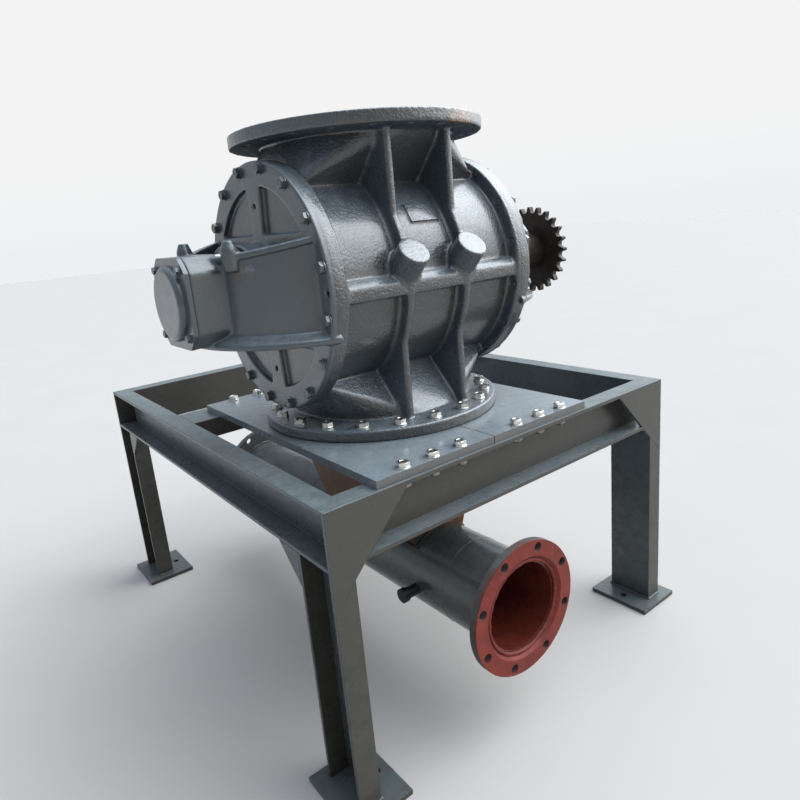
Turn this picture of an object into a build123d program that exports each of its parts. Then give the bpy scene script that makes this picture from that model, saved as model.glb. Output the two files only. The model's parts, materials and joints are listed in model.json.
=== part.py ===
from math import cos, pi, radians, sin, sqrt, tan
import os

from build123d import *

# Rotary airlock valve on a channel-steel stand, with the conveying pipe under it.
# Millimetres. Origin at the centre of the four floor anchor holes, on the floor.
# +X runs along the rotor shaft towards the sprocket, +Y to the back, +Z up.

# Stand
frame_width = 1110.0
frame_depth = 1410.0
beam_top = 685.0
channel_height = 126.0
channel_flange = 53.0
channel_web = 5.5
channel_lip = 9.0
foot_width = 150.0
foot_depth = 180.0
foot_thickness = 12.0
foot_overhang = 35.0
anchor_inset = 30.0
anchor_hole_r = 9.0
gusset_width = 205.0
gusset_drop = 212.0
gusset_thickness = 9.0
side_gusset = 78.0

# Support plates under the valve
plate_half_width = 323.0
plate_setback = 8.0
plate_length = 849.0
plate_back_overlap = 28.0
plate_thickness = 18.0
plate_joint = 2.0
plate_bolt_columns = (88.0, 166.0, 244.0)
plate_bolt_back = 17.0

# Place of the valve on the stand
valve_x = -105.0
valve_setback = 424.0
valve_half_height = 348.0

# Inlet and outlet flanges of the valve
port_r = 213.0
neck_wall = 15.0
flange_bolt_inset = 48.0
flange_edge = 29.0
pipe_flange_thickness = 28.0
pipe_flange_bolts = 20
flange_bolt = 16.0
inlet_hole_play = 1.0
flange_hole_play = 0.5
neck_base = 225.0
neck_base_depth = 280.0
neck_root = 196.0
neck_root_depth = 236.0
neck_corner = 8.0
port_base = 200.0
port_depth = 190.0

# Cast barrel
bore_r = 226.0
barrel_wall = 24.0
end_flange_lip = 32.0
end_flange_inner = 250.0
end_flange_thickness = 19.0
rib_x = 85.0
rib_thickness = 18.0
rib_rise = 28.0
rib_half_depth = 240.0
band_low = -30.0
band_high = 14.0
band_rise = 26.0
band_chamfer = 14.0
boss_r = 37.0
boss_rise = 47.0
boss_z = 65.0
boss_tilt = 45.0
boss_length = 100.0
boss_root_rise = 12.0
boss_root_z = -64.0
boss_root_r = 8.8
blank_pad_x = 12.0
blank_pad_width = 77.0
blank_pad_height = 47.0
blank_pad_angle = 34.0
blank_pad_rise = 4.0

# End covers with their outboard bearing brackets
gasket_thickness = 1.0
cover_thickness = 24.0
cover_bolt_inset = 14.0
cover_bolts = 16
cover_bolt = 14.0
pocket_depth = 12.0
pocket_start = 122.0
spine_half_inner = 15.0
spine_half_outer = 33.0
jack_hole_r = 6.0
jack_hole_z = 186.0
drum_r = 262.0
drum_wall = 14.0
drum_low = -103.0
drum_high = 119.5
drum_slope = 0.185
drum_top_rim = 8.0
drum_rim = 27.0
drum_rim_thickness = 13.0
drum_flare = 13.0
lug_r = 18.0
lug_y = 126.0
lug_height = 62.0
bearing_block_length = 75.0
bearing_block_inset = 23.0
bearing_block_wall = 25.0
bearing_block_corner = 43.0
cap_bolt_inset = 28.0
cap_dome_lip = 10.0
gland_room = 44.0
stuffing_box_length = 61.0

# Shaft, packing and bearings
shaft_r = 45.0
shaft_step = 5.0
running_gap = 0.05
packing_size = 15.0
packing_rings = 3
gland_insert = 12.0
gland_gap = 12.0
gland_flange_thickness = 14.0
gland_stud = 12.0
gland_studs = 4
gland_stud_reach = 50.0
bearing_width = 26.0
bearing_seat = 48.0
roller_r = 9.0
roller_length = 17.0
rollers = 14
race_thickness = 6.0
ring_lip = 2.5
cap_flange_thickness = 10.0
cap_dome_height = 15.0
cap_fillet = 12.0
cap_bolt = 10.0
seal_width = 8.0

# Rotor
rotor_gap = 0.4
rotor_end_gap = 0.6
rotor_vanes = 8
vane_thickness = 12.0
hub_r = 82.0

# Drive sprocket
chain_pitch = 31.75
chain_roller_r = 9.53
sprocket_teeth = 24
sprocket_width = 18.0
sprocket_hub_r = 55.0
sprocket_hub_gap = 19.0
sprocket_hub_length = 96.0
sprocket_gap_flare = 5.0
key_width = 20.0
key_height = 12.0
key_length = 70.0
end_plate_r = 46.0
end_plate_thickness = 10.0
end_bolt = 20.0

# Conveying pipe and drop chute
pipe_z = 305.0
pipe_r = 109.5
pipe_wall = 6.0
pipe_overhang = 64.0
pipe_length = 1289.0
line_bolt_inset = 33.5
line_flange_edge = 17.0
line_flange_thickness = 20.0
line_flange_holes = 8
line_flange_hole_r = 11.0
line_flange_turn = 3.5
line_flange_bevel = 13.0
pipe_inset = 12.0
weld_gap = 0.2
chute_half_length = 204.0
chute_top_half_width = 172.0
chute_half_width = 77.0
chute_low = 70.0
chute_wall = 6.0
pipe_seam_gap = 120.0
drain_forward = 225.0
drain_drop = 17.0
drain_r = 14.0
drain_length = 44.0
drain_head_r = 18.0
drain_head_length = 14.0

# Hexagon bolts, as shares of the thread size
hex_flats = 1.5
hex_height = 0.64
nut_height = 0.8
washer_radius = 0.95
washer_thickness = 2.5
hole_gap = 0.2

# Heights and distances that follow from the sizes above
half_width = frame_width / 2
half_depth = frame_depth / 2
leg_top = beam_top - channel_height
plate_top = beam_top + plate_thickness
plate_front_y = plate_setback - half_depth
plate_back_y = plate_front_y + plate_length
cross_beam_y = plate_back_y - plate_back_overlap
plate_bolt_y_front = (channel_flange - channel_web) / 2 - half_depth
plate_bolt_y_back = plate_back_y - plate_bolt_back
valve_y = valve_setback - half_depth
shaft_z = plate_top + valve_half_height
neck_top = valve_half_height - pipe_flange_thickness
neck_r = port_r + neck_wall
flange_bolt_r = neck_r + flange_bolt_inset
pipe_flange_r = flange_bolt_r + flange_edge
inlet_hole_r = flange_bolt / 2 + inlet_hole_play
flange_hole_r = flange_bolt / 2 + flange_hole_play
barrel_r = bore_r + barrel_wall
end_flange_r = barrel_r + end_flange_lip
housing_end = end_flange_inner + end_flange_thickness
cover_inner = housing_end + gasket_thickness
cover_face = cover_inner + cover_thickness
cover_bolt_r = end_flange_r - cover_bolt_inset
cover_hole_r = cover_bolt / 2 + hole_gap
pocket_r = bore_r + 2
journal_r = shaft_r - shaft_step
drive_end_r = journal_r - shaft_step
shaft_pass_r = shaft_r + 1.5
packing_r = shaft_r + running_gap + packing_size
gland_stud_r = packing_r + 1.5 * gland_stud + 8
stuffing_box_r = gland_stud_r + 1.5 * gland_stud + 4
stuffing_box_end = cover_face + stuffing_box_length
packing_end = stuffing_box_end - gland_insert
packing_start = packing_end - packing_rings * packing_size
gland_face = stuffing_box_end + gland_gap + gland_flange_thickness
bearing_block_start = gland_face + gland_room
drum_centre = bearing_block_start + bearing_block_inset - drum_r
bearing_block_end = bearing_block_start + bearing_block_length
bearing_start = bearing_block_end - bearing_seat
roller_pitch_r = journal_r + race_thickness + roller_r
bearing_r = roller_pitch_r + roller_r + race_thickness
bearing_pass_r = bearing_r - 12
bearing_block_side = 2 * (bearing_r + bearing_block_wall)
bearing_block_r = bearing_r + bearing_block_corner
cap_bolt_r = bearing_r + cap_bolt_inset
cap_dome_r = bearing_r + cap_dome_lip
cap_face = bearing_block_end + cap_flange_thickness
seal_r = journal_r + 12
sprocket_hub_start = cap_face + cap_dome_height + sprocket_hub_gap
shaft_end = sprocket_hub_start + sprocket_hub_length
pipe_front_y = -half_depth - pipe_overhang
pipe_back_y = pipe_front_y + pipe_length
line_bolt_r = pipe_r + line_bolt_inset
line_flange_r = line_bolt_r + line_flange_edge

valve_level = Plane(origin=(valve_x, valve_y, shaft_z))
valve_cross = Plane(origin=(valve_x, valve_y, shaft_z), x_dir=(0, 1, 0), z_dir=(1, 0, 0))
pipe_front_plane = Plane(origin=(valve_x, pipe_front_y, pipe_z), x_dir=(1, 0, 0), z_dir=(0, -1, 0))

os.makedirs("parts", exist_ok=True)


def save(piece, name):
    piece.label = name
    export_step(piece, f"parts/{name}.step")


def end_plane(side, distance):
    # plane across the shaft, facing outwards, on the -X (side -1) or +X (side 1) end of the valve
    origin = (valve_x + side * distance, valve_y, shaft_z)
    return Plane(origin=origin, x_dir=(0, side, 0), z_dir=(side, 0, 0))


def side_name(side):
    return "left" if side < 0 else "right"


def hex_bolt(plane, spots, size, shank):
    # hexagon bolts with washers, heads standing on the plane and shanks going below it
    with BuildPart() as bolts:
        with BuildSketch(plane):
            with Locations(*spots):
                Circle(size * washer_radius)
        extrude(amount=washer_thickness)
        with BuildSketch(plane.offset(washer_thickness)):
            with Locations(*spots):
                RegularPolygon(size * hex_flats / 2, 6, major_radius=False)
        extrude(amount=size * hex_height)
        with BuildSketch(plane):
            with Locations(*spots):
                Circle(size / 2)
        extrude(amount=-shank)
    return bolts.part


def hex_nuts(plane, spots, size):
    # hexagon nuts standing on the plane, bored for the shank
    with BuildPart() as nuts:
        with BuildSketch(plane):
            with Locations(*spots):
                RegularPolygon(size * hex_flats / 2, 6, major_radius=False)
                Circle(size / 2 + running_gap, mode=Mode.SUBTRACT)
        extrude(amount=size * nut_height)
    return nuts.part


def circle_spots(radius, count, start):
    step = 2 * pi / count
    first = radians(start)
    return [(radius * cos(first + k * step), radius * sin(first + k * step)) for k in range(count)]


# Stand: gusset plates first, because the beams and legs are cut to take them
corners = [(sx, sy) for sy in (-1, 1) for sx in (-1, 1)]


def corner_gussets():
    with BuildPart() as gussets:
        for sx, sy in corners:
            face = Plane(origin=(0, sy * half_depth, 0), x_dir=(1, 0, 0), z_dir=(0, -1, 0))
            tip = sx * half_width
            with BuildSketch(face):
                with BuildLine():
                    Polyline(
                        (tip, beam_top),
                        (tip - sx * gusset_width, beam_top),
                        (tip, beam_top - gusset_drop),
                        close=True,
                    )
                make_face()
            extrude(amount=sy * gusset_thickness)
    return gussets.part


gusset_plates = corner_gussets()
save(gusset_plates, "corner_gussets")

with BuildPart() as side_gussets:
    for sx, sy in corners:
        tip = sx * half_width
        leg_face = sy * (half_depth - channel_height)
        face = Plane(origin=(tip, 0, 0), x_dir=(0, 1, 0), z_dir=(1, 0, 0))
        with BuildSketch(face):
            with BuildLine():
                Polyline(
                    (leg_face, leg_top),
                    (leg_face - sy * side_gusset, leg_top),
                    (leg_face, leg_top - side_gusset),
                    close=True,
                )
            make_face()
        extrude(amount=-sx * gusset_thickness)
save(side_gussets.part, "side_gussets")


front_bolt_spots = [(valve_x + s * x, plate_bolt_y_front) for s in (-1, 1) for x in plate_bolt_columns]
back_bolt_spots = [(valve_x + s * x, plate_bolt_y_back) for s in (-1, 1) for x in plate_bolt_columns]


def channel_beam(plane, half_length):
    # channel laid with its web on the local +X side and its flanges pointing to local -X, mitred at both ends
    with BuildPart() as beam:
        with BuildSketch(plane):
            with Locations((-channel_flange / 2, -channel_height / 2)):
                Rectangle(channel_flange, channel_height)
            with Locations((-(channel_flange + channel_web) / 2, -channel_height / 2)):
                hollow = channel_height - 2 * channel_lip
                Rectangle(channel_flange - channel_web, hollow, mode=Mode.SUBTRACT)
        extrude(amount=half_length, both=True)
        for end in (-1, 1):
            outer = plane.origin - plane.x_dir * channel_flange + plane.z_dir * (end * half_length)
            inward = -plane.x_dir - plane.z_dir * end
            split(bisect_by=Plane(origin=outer, z_dir=inward), keep=Keep.TOP)
        add(gusset_plates, mode=Mode.SUBTRACT)
        with BuildSketch(Plane.XY.offset(beam_top)):
            with Locations(*front_bolt_spots):
                Circle(flange_hole_r)
        extrude(amount=-channel_lip, mode=Mode.SUBTRACT)
    return beam.part


inner_x = half_width - channel_flange
inner_y = half_depth - channel_flange
left_plane = Plane(origin=(-inner_x, 0, beam_top), x_dir=(1, 0, 0), z_dir=(0, -1, 0))
right_plane = Plane(origin=(inner_x, 0, beam_top), x_dir=(-1, 0, 0), z_dir=(0, 1, 0))
front_plane = Plane(origin=(0, -inner_y, beam_top), x_dir=(0, 1, 0), z_dir=(1, 0, 0))
back_plane = Plane(origin=(0, inner_y, beam_top), x_dir=(0, -1, 0), z_dir=(-1, 0, 0))
save(channel_beam(left_plane, half_depth), "left_beam")
save(channel_beam(right_plane, half_depth), "right_beam")
save(channel_beam(front_plane, half_width), "front_beam")
save(channel_beam(back_plane, half_width), "back_beam")

# Cross beam: channel laid flat, web up, between the side beams
cross_plane = Plane(origin=(-inner_x, cross_beam_y, beam_top), x_dir=(0, 1, 0), z_dir=(1, 0, 0))
with BuildPart() as cross_beam:
    with BuildSketch(cross_plane):
        with Locations((0, -channel_flange / 2)):
            Rectangle(channel_height, channel_flange)
        with Locations((0, -(channel_flange + channel_web) / 2)):
            Rectangle(channel_height - 2 * channel_lip, channel_flange - channel_web, mode=Mode.SUBTRACT)
    extrude(amount=2 * inner_x)
    with BuildSketch(Plane.XY.offset(beam_top)):
        with Locations(*back_bolt_spots):
            Circle(flange_hole_r)
    extrude(amount=-channel_web, mode=Mode.SUBTRACT)
save(cross_beam.part, "cross_beam")


def channel_leg(sx, sy):
    # upright channel under a frame corner: web on the inside, flanges pointing outwards along X
    centre_y = sy * (half_depth - channel_height / 2)
    with BuildPart() as leg:
        with BuildSketch(Plane.XY.offset(foot_thickness)):
            with Locations((sx * (half_width - channel_flange / 2), centre_y)):
                Rectangle(channel_flange, channel_height)
            with Locations((sx * (half_width - (channel_flange - channel_web) / 2), centre_y)):
                hollow = channel_height - 2 * channel_lip
                Rectangle(channel_flange - channel_web, hollow, mode=Mode.SUBTRACT)
        extrude(amount=leg_top - foot_thickness)
        add(gusset_plates, mode=Mode.SUBTRACT)
    return leg.part


for sx, sy in corners:
    depth_name = "front" if sy < 0 else "back"
    save(channel_leg(sx, sy), f"leg_{depth_name}_{side_name(sx)}")

# Foot plates, one anchor hole each on the inner side of the leg
foot_x = half_width + foot_overhang - foot_width / 2
foot_y = half_depth - channel_height / 2
anchor_x = half_width + foot_overhang - foot_width + anchor_inset
with BuildPart() as foot_plates:
    with BuildSketch():
        with Locations(*[(sx * foot_x, sy * foot_y) for sx, sy in corners]):
            Rectangle(foot_width, foot_depth)
        with Locations(*[(sx * anchor_x, sy * foot_y) for sx, sy in corners]):
            Circle(anchor_hole_r, mode=Mode.SUBTRACT)
    extrude(amount=foot_thickness)
save(foot_plates.part, "foot_plates")

# Support plates, split under the valve, open over the drop chute
chute_inner_width = 2 * (chute_top_half_width - chute_wall)
chute_inner_length = 2 * (chute_half_length - chute_wall)
flange_spots = circle_spots(flange_bolt_r, pipe_flange_bolts, 180 / pipe_flange_bolts)
plate_spots_front = [(s * x, plate_bolt_y_front - valve_y) for s in (-1, 1) for x in plate_bolt_columns]
plate_spots_back = [(s * x, plate_bolt_y_back - valve_y) for s in (-1, 1) for x in plate_bolt_columns]
plate_level = Plane(origin=(valve_x, valve_y, beam_top))


def support_plate(side):
    width = plate_half_width - plate_joint / 2
    with BuildPart() as plate:
        with BuildSketch(plate_level):
            middle_y = (plate_front_y + plate_back_y) / 2 - valve_y
            with Locations((side * (plate_half_width + plate_joint / 2) / 2, middle_y)):
                Rectangle(width, plate_length)
            Rectangle(chute_inner_width, chute_inner_length, mode=Mode.SUBTRACT)
            with Locations(*flange_spots, *plate_spots_front, *plate_spots_back):
                Circle(flange_hole_r, mode=Mode.SUBTRACT)
        extrude(amount=plate_thickness)
    return plate.part


save(support_plate(-1), "support_plate_left")
save(support_plate(1), "support_plate_right")

# Drop chute, narrowed to the pipe, and the conveying pipe in three welded lengths
chute_foot = Plane(origin=(valve_x, valve_y, pipe_z + chute_low))
slot_width = 2 * (chute_half_width - chute_wall)
with BuildPart() as drop_chute:
    with BuildSketch(chute_foot):
        Rectangle(2 * chute_half_width, 2 * chute_half_length)
    with BuildSketch(plate_level):
        Rectangle(2 * chute_top_half_width, 2 * chute_half_length)
    loft()
    with BuildSketch(chute_foot):
        Rectangle(slot_width, chute_inner_length)
    with BuildSketch(plate_level):
        Rectangle(chute_inner_width, chute_inner_length)
    loft(mode=Mode.SUBTRACT)
    with BuildSketch(pipe_front_plane):
        Circle(pipe_r + weld_gap)
    extrude(amount=-pipe_length, mode=Mode.SUBTRACT)
save(drop_chute.part, "drop_chute")


def pipe_spool(start, end):
    with BuildPart() as spool:
        with BuildSketch(Plane(origin=(valve_x, start, pipe_z), x_dir=(1, 0, 0), z_dir=(0, 1, 0))):
            Circle(pipe_r)
            Circle(pipe_r - pipe_wall, mode=Mode.SUBTRACT)
        extrude(amount=end - start)
    return spool.part


seam_front_y = valve_y - chute_half_length - pipe_seam_gap
seam_back_y = valve_y + chute_half_length + pipe_seam_gap
with BuildPart() as conveying_pipe:
    add(pipe_spool(seam_front_y, seam_back_y))
    with BuildSketch(Plane(origin=(valve_x, valve_y, pipe_z))):
        Rectangle(slot_width, chute_inner_length)
    extrude(amount=pipe_r, mode=Mode.SUBTRACT)
save(conveying_pipe.part, "conveying_pipe")
save(pipe_spool(pipe_front_y + pipe_inset, seam_front_y - weld_gap), "pipe_spool_front")
save(pipe_spool(seam_back_y + weld_gap, pipe_back_y - pipe_inset), "pipe_spool_back")


def line_flange(y, facing):
    # slip-on flange with its bore bevelled at the face for the inside weld; facing -1 looks to -Y
    plane = Plane(origin=(valve_x, y, pipe_z), x_dir=(1, 0, 0), z_dir=(0, -1, 0))
    bore = pipe_r + weld_gap
    with BuildPart() as flange:
        with BuildSketch(plane):
            Circle(line_flange_r)
            Circle(bore, mode=Mode.SUBTRACT)
            with PolarLocations(line_bolt_r, line_flange_holes, 180 / line_flange_holes + line_flange_turn):
                Circle(line_flange_hole_r, mode=Mode.SUBTRACT)
        extrude(amount=facing * line_flange_thickness)
        mouth = flange.edges().filter_by(GeomType.CIRCLE)
        mouth = [e for e in mouth if abs(e.radius - bore) < 0.01 and abs(e.arc_center.Y - y) < 0.01]
        chamfer(mouth, line_flange_bevel)
    return flange.part


save(line_flange(pipe_front_y, -1), "pipe_flange_front")
save(line_flange(pipe_back_y, 1), "pipe_flange_back")

# Drain plug low on the side of the pipe: nipple, then the wider cap
drain_plane = Plane(
    origin=(valve_x, valve_y - drain_forward, pipe_z - drain_drop), x_dir=(0, 1, 0), z_dir=(-1, 0, 0)
)
with BuildPart() as drain_plug:
    with BuildSketch(drain_plane.offset(pipe_r - 2 * pipe_wall)):
        Circle(drain_r)
    extrude(amount=drain_length)
    with BuildSketch(drain_plane.offset(pipe_r - 2 * pipe_wall + drain_length)):
        Circle(drain_head_r)
    extrude(amount=drain_head_length)
    with BuildSketch(pipe_front_plane):
        Circle(pipe_r + weld_gap)
    extrude(amount=-pipe_length, mode=Mode.SUBTRACT)
save(drain_plug.part, "drain_plug")

# Fasteners of the stand and of the outlet flange
nut_reach = flange_bolt * nut_height + 4
flange_stack = plate_thickness + pipe_flange_thickness
flange_bolts = hex_bolt(plate_level.offset(flange_stack), flange_spots, flange_bolt, flange_stack + nut_reach)
save(flange_bolts, "outlet_flange_bolts")
under_plates = Plane(origin=(valve_x, valve_y, beam_top), x_dir=(1, 0, 0), z_dir=(0, 0, -1))
save(hex_nuts(under_plates, [(x, -y) for x, y in flange_spots], flange_bolt), "outlet_flange_nuts")
plate_spots = plate_spots_front + plate_spots_back
plate_stack = plate_thickness + channel_lip + nut_reach
plate_bolts = hex_bolt(plate_level.offset(plate_thickness), plate_spots, flange_bolt, plate_stack)
save(plate_bolts, "support_plate_bolts")
with BuildPart() as plate_nuts:
    add(hex_nuts(under_plates.offset(channel_lip), [(x, -y) for x, y in plate_spots_front], flange_bolt))
    add(hex_nuts(under_plates.offset(channel_web), [(x, -y) for x, y in plate_spots_back], flange_bolt))
save(plate_nuts.part, "support_plate_nuts")


# Valve housing: cast barrel with end flanges, square-to-round necks, round inlet and outlet flanges, ribs
def square_to_round(up, low, low_width, low_depth, high, high_r):
    # solid that runs from a rectangle near the barrel to a circle at the flange; up is 1 or -1
    flat = 2.0
    with BuildPart() as neck:
        with BuildSketch(valve_level.offset(up * low)):
            RectangleRounded(low_width, low_depth, neck_corner)
        with BuildSketch(valve_level.offset(up * high)):
            RectangleRounded(2 * high_r, 2 * high_r, high_r - flat)
        loft(ruled=True)
    return neck.part


boss_y = -barrel_r - boss_rise
boss_root_y = -barrel_r - boss_root_rise
boss_axis = (0, -cos(radians(boss_tilt)), sin(radians(boss_tilt)))
boss_root_axis = (0, boss_y - boss_root_y, boss_z - boss_root_z)
band_reach = barrel_r + band_rise

with BuildPart() as housing:
    with BuildSketch(valve_cross):
        Circle(barrel_r)
    extrude(amount=end_flange_inner, both=True)
    for side in (-1, 1):
        with BuildSketch(end_plane(side, end_flange_inner)):
            Circle(end_flange_r)
        extrude(amount=end_flange_thickness)
        with BuildSketch(valve_cross.offset(side * rib_x)):
            Rectangle(2 * rib_half_depth, 2 * neck_top)
            Circle(barrel_r + rib_rise)
        extrude(amount=rib_thickness / 2, both=True)
        disc = Plane(
            origin=(valve_x + side * rib_x, valve_y + boss_y, shaft_z + boss_z),
            x_dir=(1, 0, 0),
            z_dir=boss_axis,
        )
        root = Plane(
            origin=(valve_x + side * rib_x, valve_y + boss_root_y, shaft_z + boss_root_z),
            x_dir=(1, 0, 0),
            z_dir=boss_root_axis,
        )
        with BuildSketch(disc):
            Circle(boss_r)
        extrude(amount=-boss_length)
        with BuildSketch(disc):
            Circle(boss_r)
        with BuildSketch(root):
            Circle(boss_root_r)
        loft()
    for up in (-1, 1):
        with BuildSketch(valve_cross):
            with BuildLine():
                Polyline(
                    (-neck_root_depth / 2, up * neck_root),
                    (-neck_base_depth / 2, up * neck_base),
                    (neck_base_depth / 2, up * neck_base),
                    (neck_root_depth / 2, up * neck_root),
                    close=True,
                )
            make_face()
        extrude(amount=end_flange_inner, both=True)
        add(square_to_round(up, neck_base, 2 * end_flange_inner, neck_base_depth, neck_top, neck_r))
        with BuildSketch(valve_level.offset(up * neck_top)):
            Circle(pipe_flange_r)
        extrude(amount=up * pipe_flange_thickness)
    with BuildSketch(valve_cross):
        with BuildLine():
            Polyline(
                (-band_reach, band_low),
                (-band_reach, band_high - band_chamfer),
                (-band_reach + band_chamfer, band_high),
                (band_reach - band_chamfer, band_high),
                (band_reach, band_high - band_chamfer),
                (band_reach, band_low),
                close=True,
            )
        make_face()
    extrude(amount=end_flange_inner, both=True)
    pad_direction = (0, -cos(radians(blank_pad_angle)), sin(radians(blank_pad_angle)))
    pad_plane = Plane(
        origin=(valve_x + blank_pad_x, valve_y, shaft_z), x_dir=(1, 0, 0), z_dir=pad_direction
    )
    with BuildSketch(pad_plane.offset(bore_r)):
        Rectangle(blank_pad_width, blank_pad_height)
    extrude(amount=barrel_r - bore_r + blank_pad_rise)
    with BuildSketch(valve_cross):
        Circle(bore_r)
    extrude(amount=housing_end, both=True, mode=Mode.SUBTRACT)
    for up in (-1, 1):
        port = square_to_round(up, port_base, 2 * port_r, port_depth, valve_half_height, port_r)
        add(port, mode=Mode.SUBTRACT)
        with BuildSketch(valve_level):
            RectangleRounded(2 * port_r, port_depth, neck_corner)
        extrude(amount=up * port_base, mode=Mode.SUBTRACT)
        with BuildSketch(valve_level.offset(up * neck_top)):
            with Locations(*flange_spots):
                Circle(inlet_hole_r if up > 0 else flange_hole_r)
        extrude(amount=up * pipe_flange_thickness, mode=Mode.SUBTRACT)
    for side in (-1, 1):
        with BuildSketch(end_plane(side, end_flange_inner)):
            with PolarLocations(cover_bolt_r, cover_bolts, 180 / cover_bolts):
                Circle(cover_hole_r)
        extrude(amount=end_flange_thickness, mode=Mode.SUBTRACT)
save(housing.part, "housing")

# End covers, gaskets, bearings, packing and caps, the same on both ends
cover_spots = circle_spots(cover_bolt_r, cover_bolts, 180 / cover_bolts)
cap_spots = circle_spots(cap_bolt_r, 4, 45)
gland_spots = circle_spots(gland_stud_r, gland_studs, 0)


def pocket_sketch(up):
    # recess above (up 1) or below (up -1) the bracket, divided by the tapering spine
    with BuildSketch() as pocket:
        Circle(pocket_r)
        with Locations((0, -up * (pocket_r - pocket_start))):
            Rectangle(2 * pocket_r, 2 * pocket_r, mode=Mode.SUBTRACT)
        with BuildLine():
            Polyline(
                (-spine_half_inner, 0),
                (spine_half_inner, 0),
                (spine_half_outer, up * pocket_r),
                (-spine_half_outer, up * pocket_r),
                close=True,
            )
        make_face(mode=Mode.SUBTRACT)
    return pocket.sketch


def drum_ring(side, low, height, outer):
    # part of an upright drum that stands out from the cover's face
    level = Plane(origin=(valve_x, valve_y, shaft_z + low))
    cut = drum_centre - drum_r
    with BuildPart() as ring:
        with BuildSketch(level):
            with Locations((side * drum_centre, 0)):
                Circle(outer)
                Circle(drum_r - drum_wall, mode=Mode.SUBTRACT)
            with Locations((side * (cover_inner + cut - drum_rim) / 2, 0)):
                Rectangle(cover_inner - cut + drum_rim, 2 * outer, mode=Mode.SUBTRACT)
        extrude(amount=height)
    return ring.part


def drum_band(side, depth):
    # prism across the drum under its top, which slopes down from the cover to the bearing
    reach = drum_centre + drum_r + drum_rim
    outer_top = drum_high - drum_slope * (reach - cover_inner)
    with BuildPart() as band:
        upright = Plane(origin=(valve_x, valve_y, shaft_z), x_dir=(1, 0, 0), z_dir=(0, -1, 0))
        with BuildSketch(upright):
            with BuildLine():
                Polyline(
                    (side * cover_inner, drum_high),
                    (side * reach, outer_top),
                    (side * reach, outer_top - depth),
                    (side * cover_inner, drum_high - depth),
                    close=True,
                )
            make_face()
        extrude(amount=drum_r + drum_rim, both=True)
    return band.part


def drum_flare_ring(side):
    # sloping ledge that runs from the drum's wall down to its lower rim
    foot = Plane(origin=(valve_x, valve_y, shaft_z + drum_low + drum_rim_thickness))
    with BuildPart() as ledge:
        with BuildSketch(foot):
            with Locations((side * drum_centre, 0)):
                Circle(drum_r + drum_rim)
        with BuildSketch(foot.offset(drum_flare)):
            with Locations((side * drum_centre, 0)):
                Circle(drum_r)
        loft()
        add(drum_ring(side, drum_low, drum_high - drum_low, drum_r + drum_rim), mode=Mode.INTERSECT)
    return ledge.part


def end_cover(side):
    with BuildPart() as cover:
        with BuildSketch(end_plane(side, cover_inner)):
            Circle(end_flange_r)
        extrude(amount=cover_thickness)
        for up in (-1, 1):
            with BuildSketch(end_plane(side, cover_face - pocket_depth)):
                add(pocket_sketch(up))
            extrude(amount=pocket_depth, mode=Mode.SUBTRACT)
        full_height = drum_high - drum_low
        add(drum_ring(side, drum_low, full_height, drum_r) & drum_band(side, 2 * full_height))
        top_rim = drum_ring(side, drum_low, full_height, drum_r + drum_top_rim)
        add(top_rim & drum_band(side, drum_rim_thickness))
        add(drum_ring(side, drum_low, drum_rim_thickness, drum_r + drum_rim))
        add(drum_flare_ring(side))
        lug_x = drum_centre + sqrt(drum_r**2 - lug_y**2) + drum_wall / 2
        with BuildSketch(Plane(origin=(valve_x, valve_y, shaft_z + drum_high - lug_height))):
            with Locations((side * lug_x, lug_y), (side * lug_x, -lug_y)):
                Circle(lug_r)
        extrude(amount=lug_height)
        with BuildSketch(end_plane(side, bearing_block_start)):
            Rectangle(bearing_block_side, bearing_block_side)
            Circle(bearing_block_r, mode=Mode.INTERSECT)
        extrude(amount=bearing_block_end - bearing_block_start)
        with BuildSketch(end_plane(side, cover_inner)):
            Circle(stuffing_box_r)
        extrude(amount=stuffing_box_end - cover_inner)
        with BuildSketch(end_plane(side, cover_inner)):
            Circle(shaft_pass_r)
        extrude(amount=stuffing_box_end - cover_inner, mode=Mode.SUBTRACT)
        with BuildSketch(end_plane(side, packing_start)):
            Circle(packing_r + hole_gap)
        extrude(amount=stuffing_box_end - packing_start, mode=Mode.SUBTRACT)
        with BuildSketch(end_plane(side, stuffing_box_end)):
            Circle(bearing_pass_r)
        extrude(amount=bearing_start - stuffing_box_end, mode=Mode.SUBTRACT)
        with BuildSketch(end_plane(side, bearing_start)):
            Circle(bearing_r)
        extrude(amount=bearing_block_end - bearing_start, mode=Mode.SUBTRACT)
        with BuildSketch(end_plane(side, cover_inner)):
            with Locations(*cover_spots):
                Circle(cover_hole_r)
            with Locations((0, jack_hole_z), (0, -jack_hole_z), (cover_bolt_r, 0), (-cover_bolt_r, 0)):
                Circle(jack_hole_r)
        extrude(amount=cover_thickness, mode=Mode.SUBTRACT)
        with BuildSketch(end_plane(side, stuffing_box_end)):
            with Locations(*gland_spots):
                Circle(gland_stud / 2 + running_gap)
        extrude(amount=-gland_stud * 2, mode=Mode.SUBTRACT)
        with BuildSketch(end_plane(side, bearing_block_end)):
            with Locations(*cap_spots):
                Circle(cap_bolt / 2 + running_gap)
        extrude(amount=-cap_bolt * 2.5, mode=Mode.SUBTRACT)
    return cover.part


def ring(side, start, length, outer, inner):
    with BuildPart() as piece:
        with BuildSketch(end_plane(side, start)):
            Circle(outer)
            Circle(inner, mode=Mode.SUBTRACT)
        extrude(amount=length)
    return piece.part


def cover_gasket(side):
    with BuildPart() as gasket:
        with BuildSketch(end_plane(side, housing_end)):
            Circle(end_flange_r - 2)
            Circle(bore_r + 2, mode=Mode.SUBTRACT)
            with Locations(*cover_spots):
                Circle(cover_hole_r, mode=Mode.SUBTRACT)
        extrude(amount=gasket_thickness)
    return gasket.part


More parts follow.
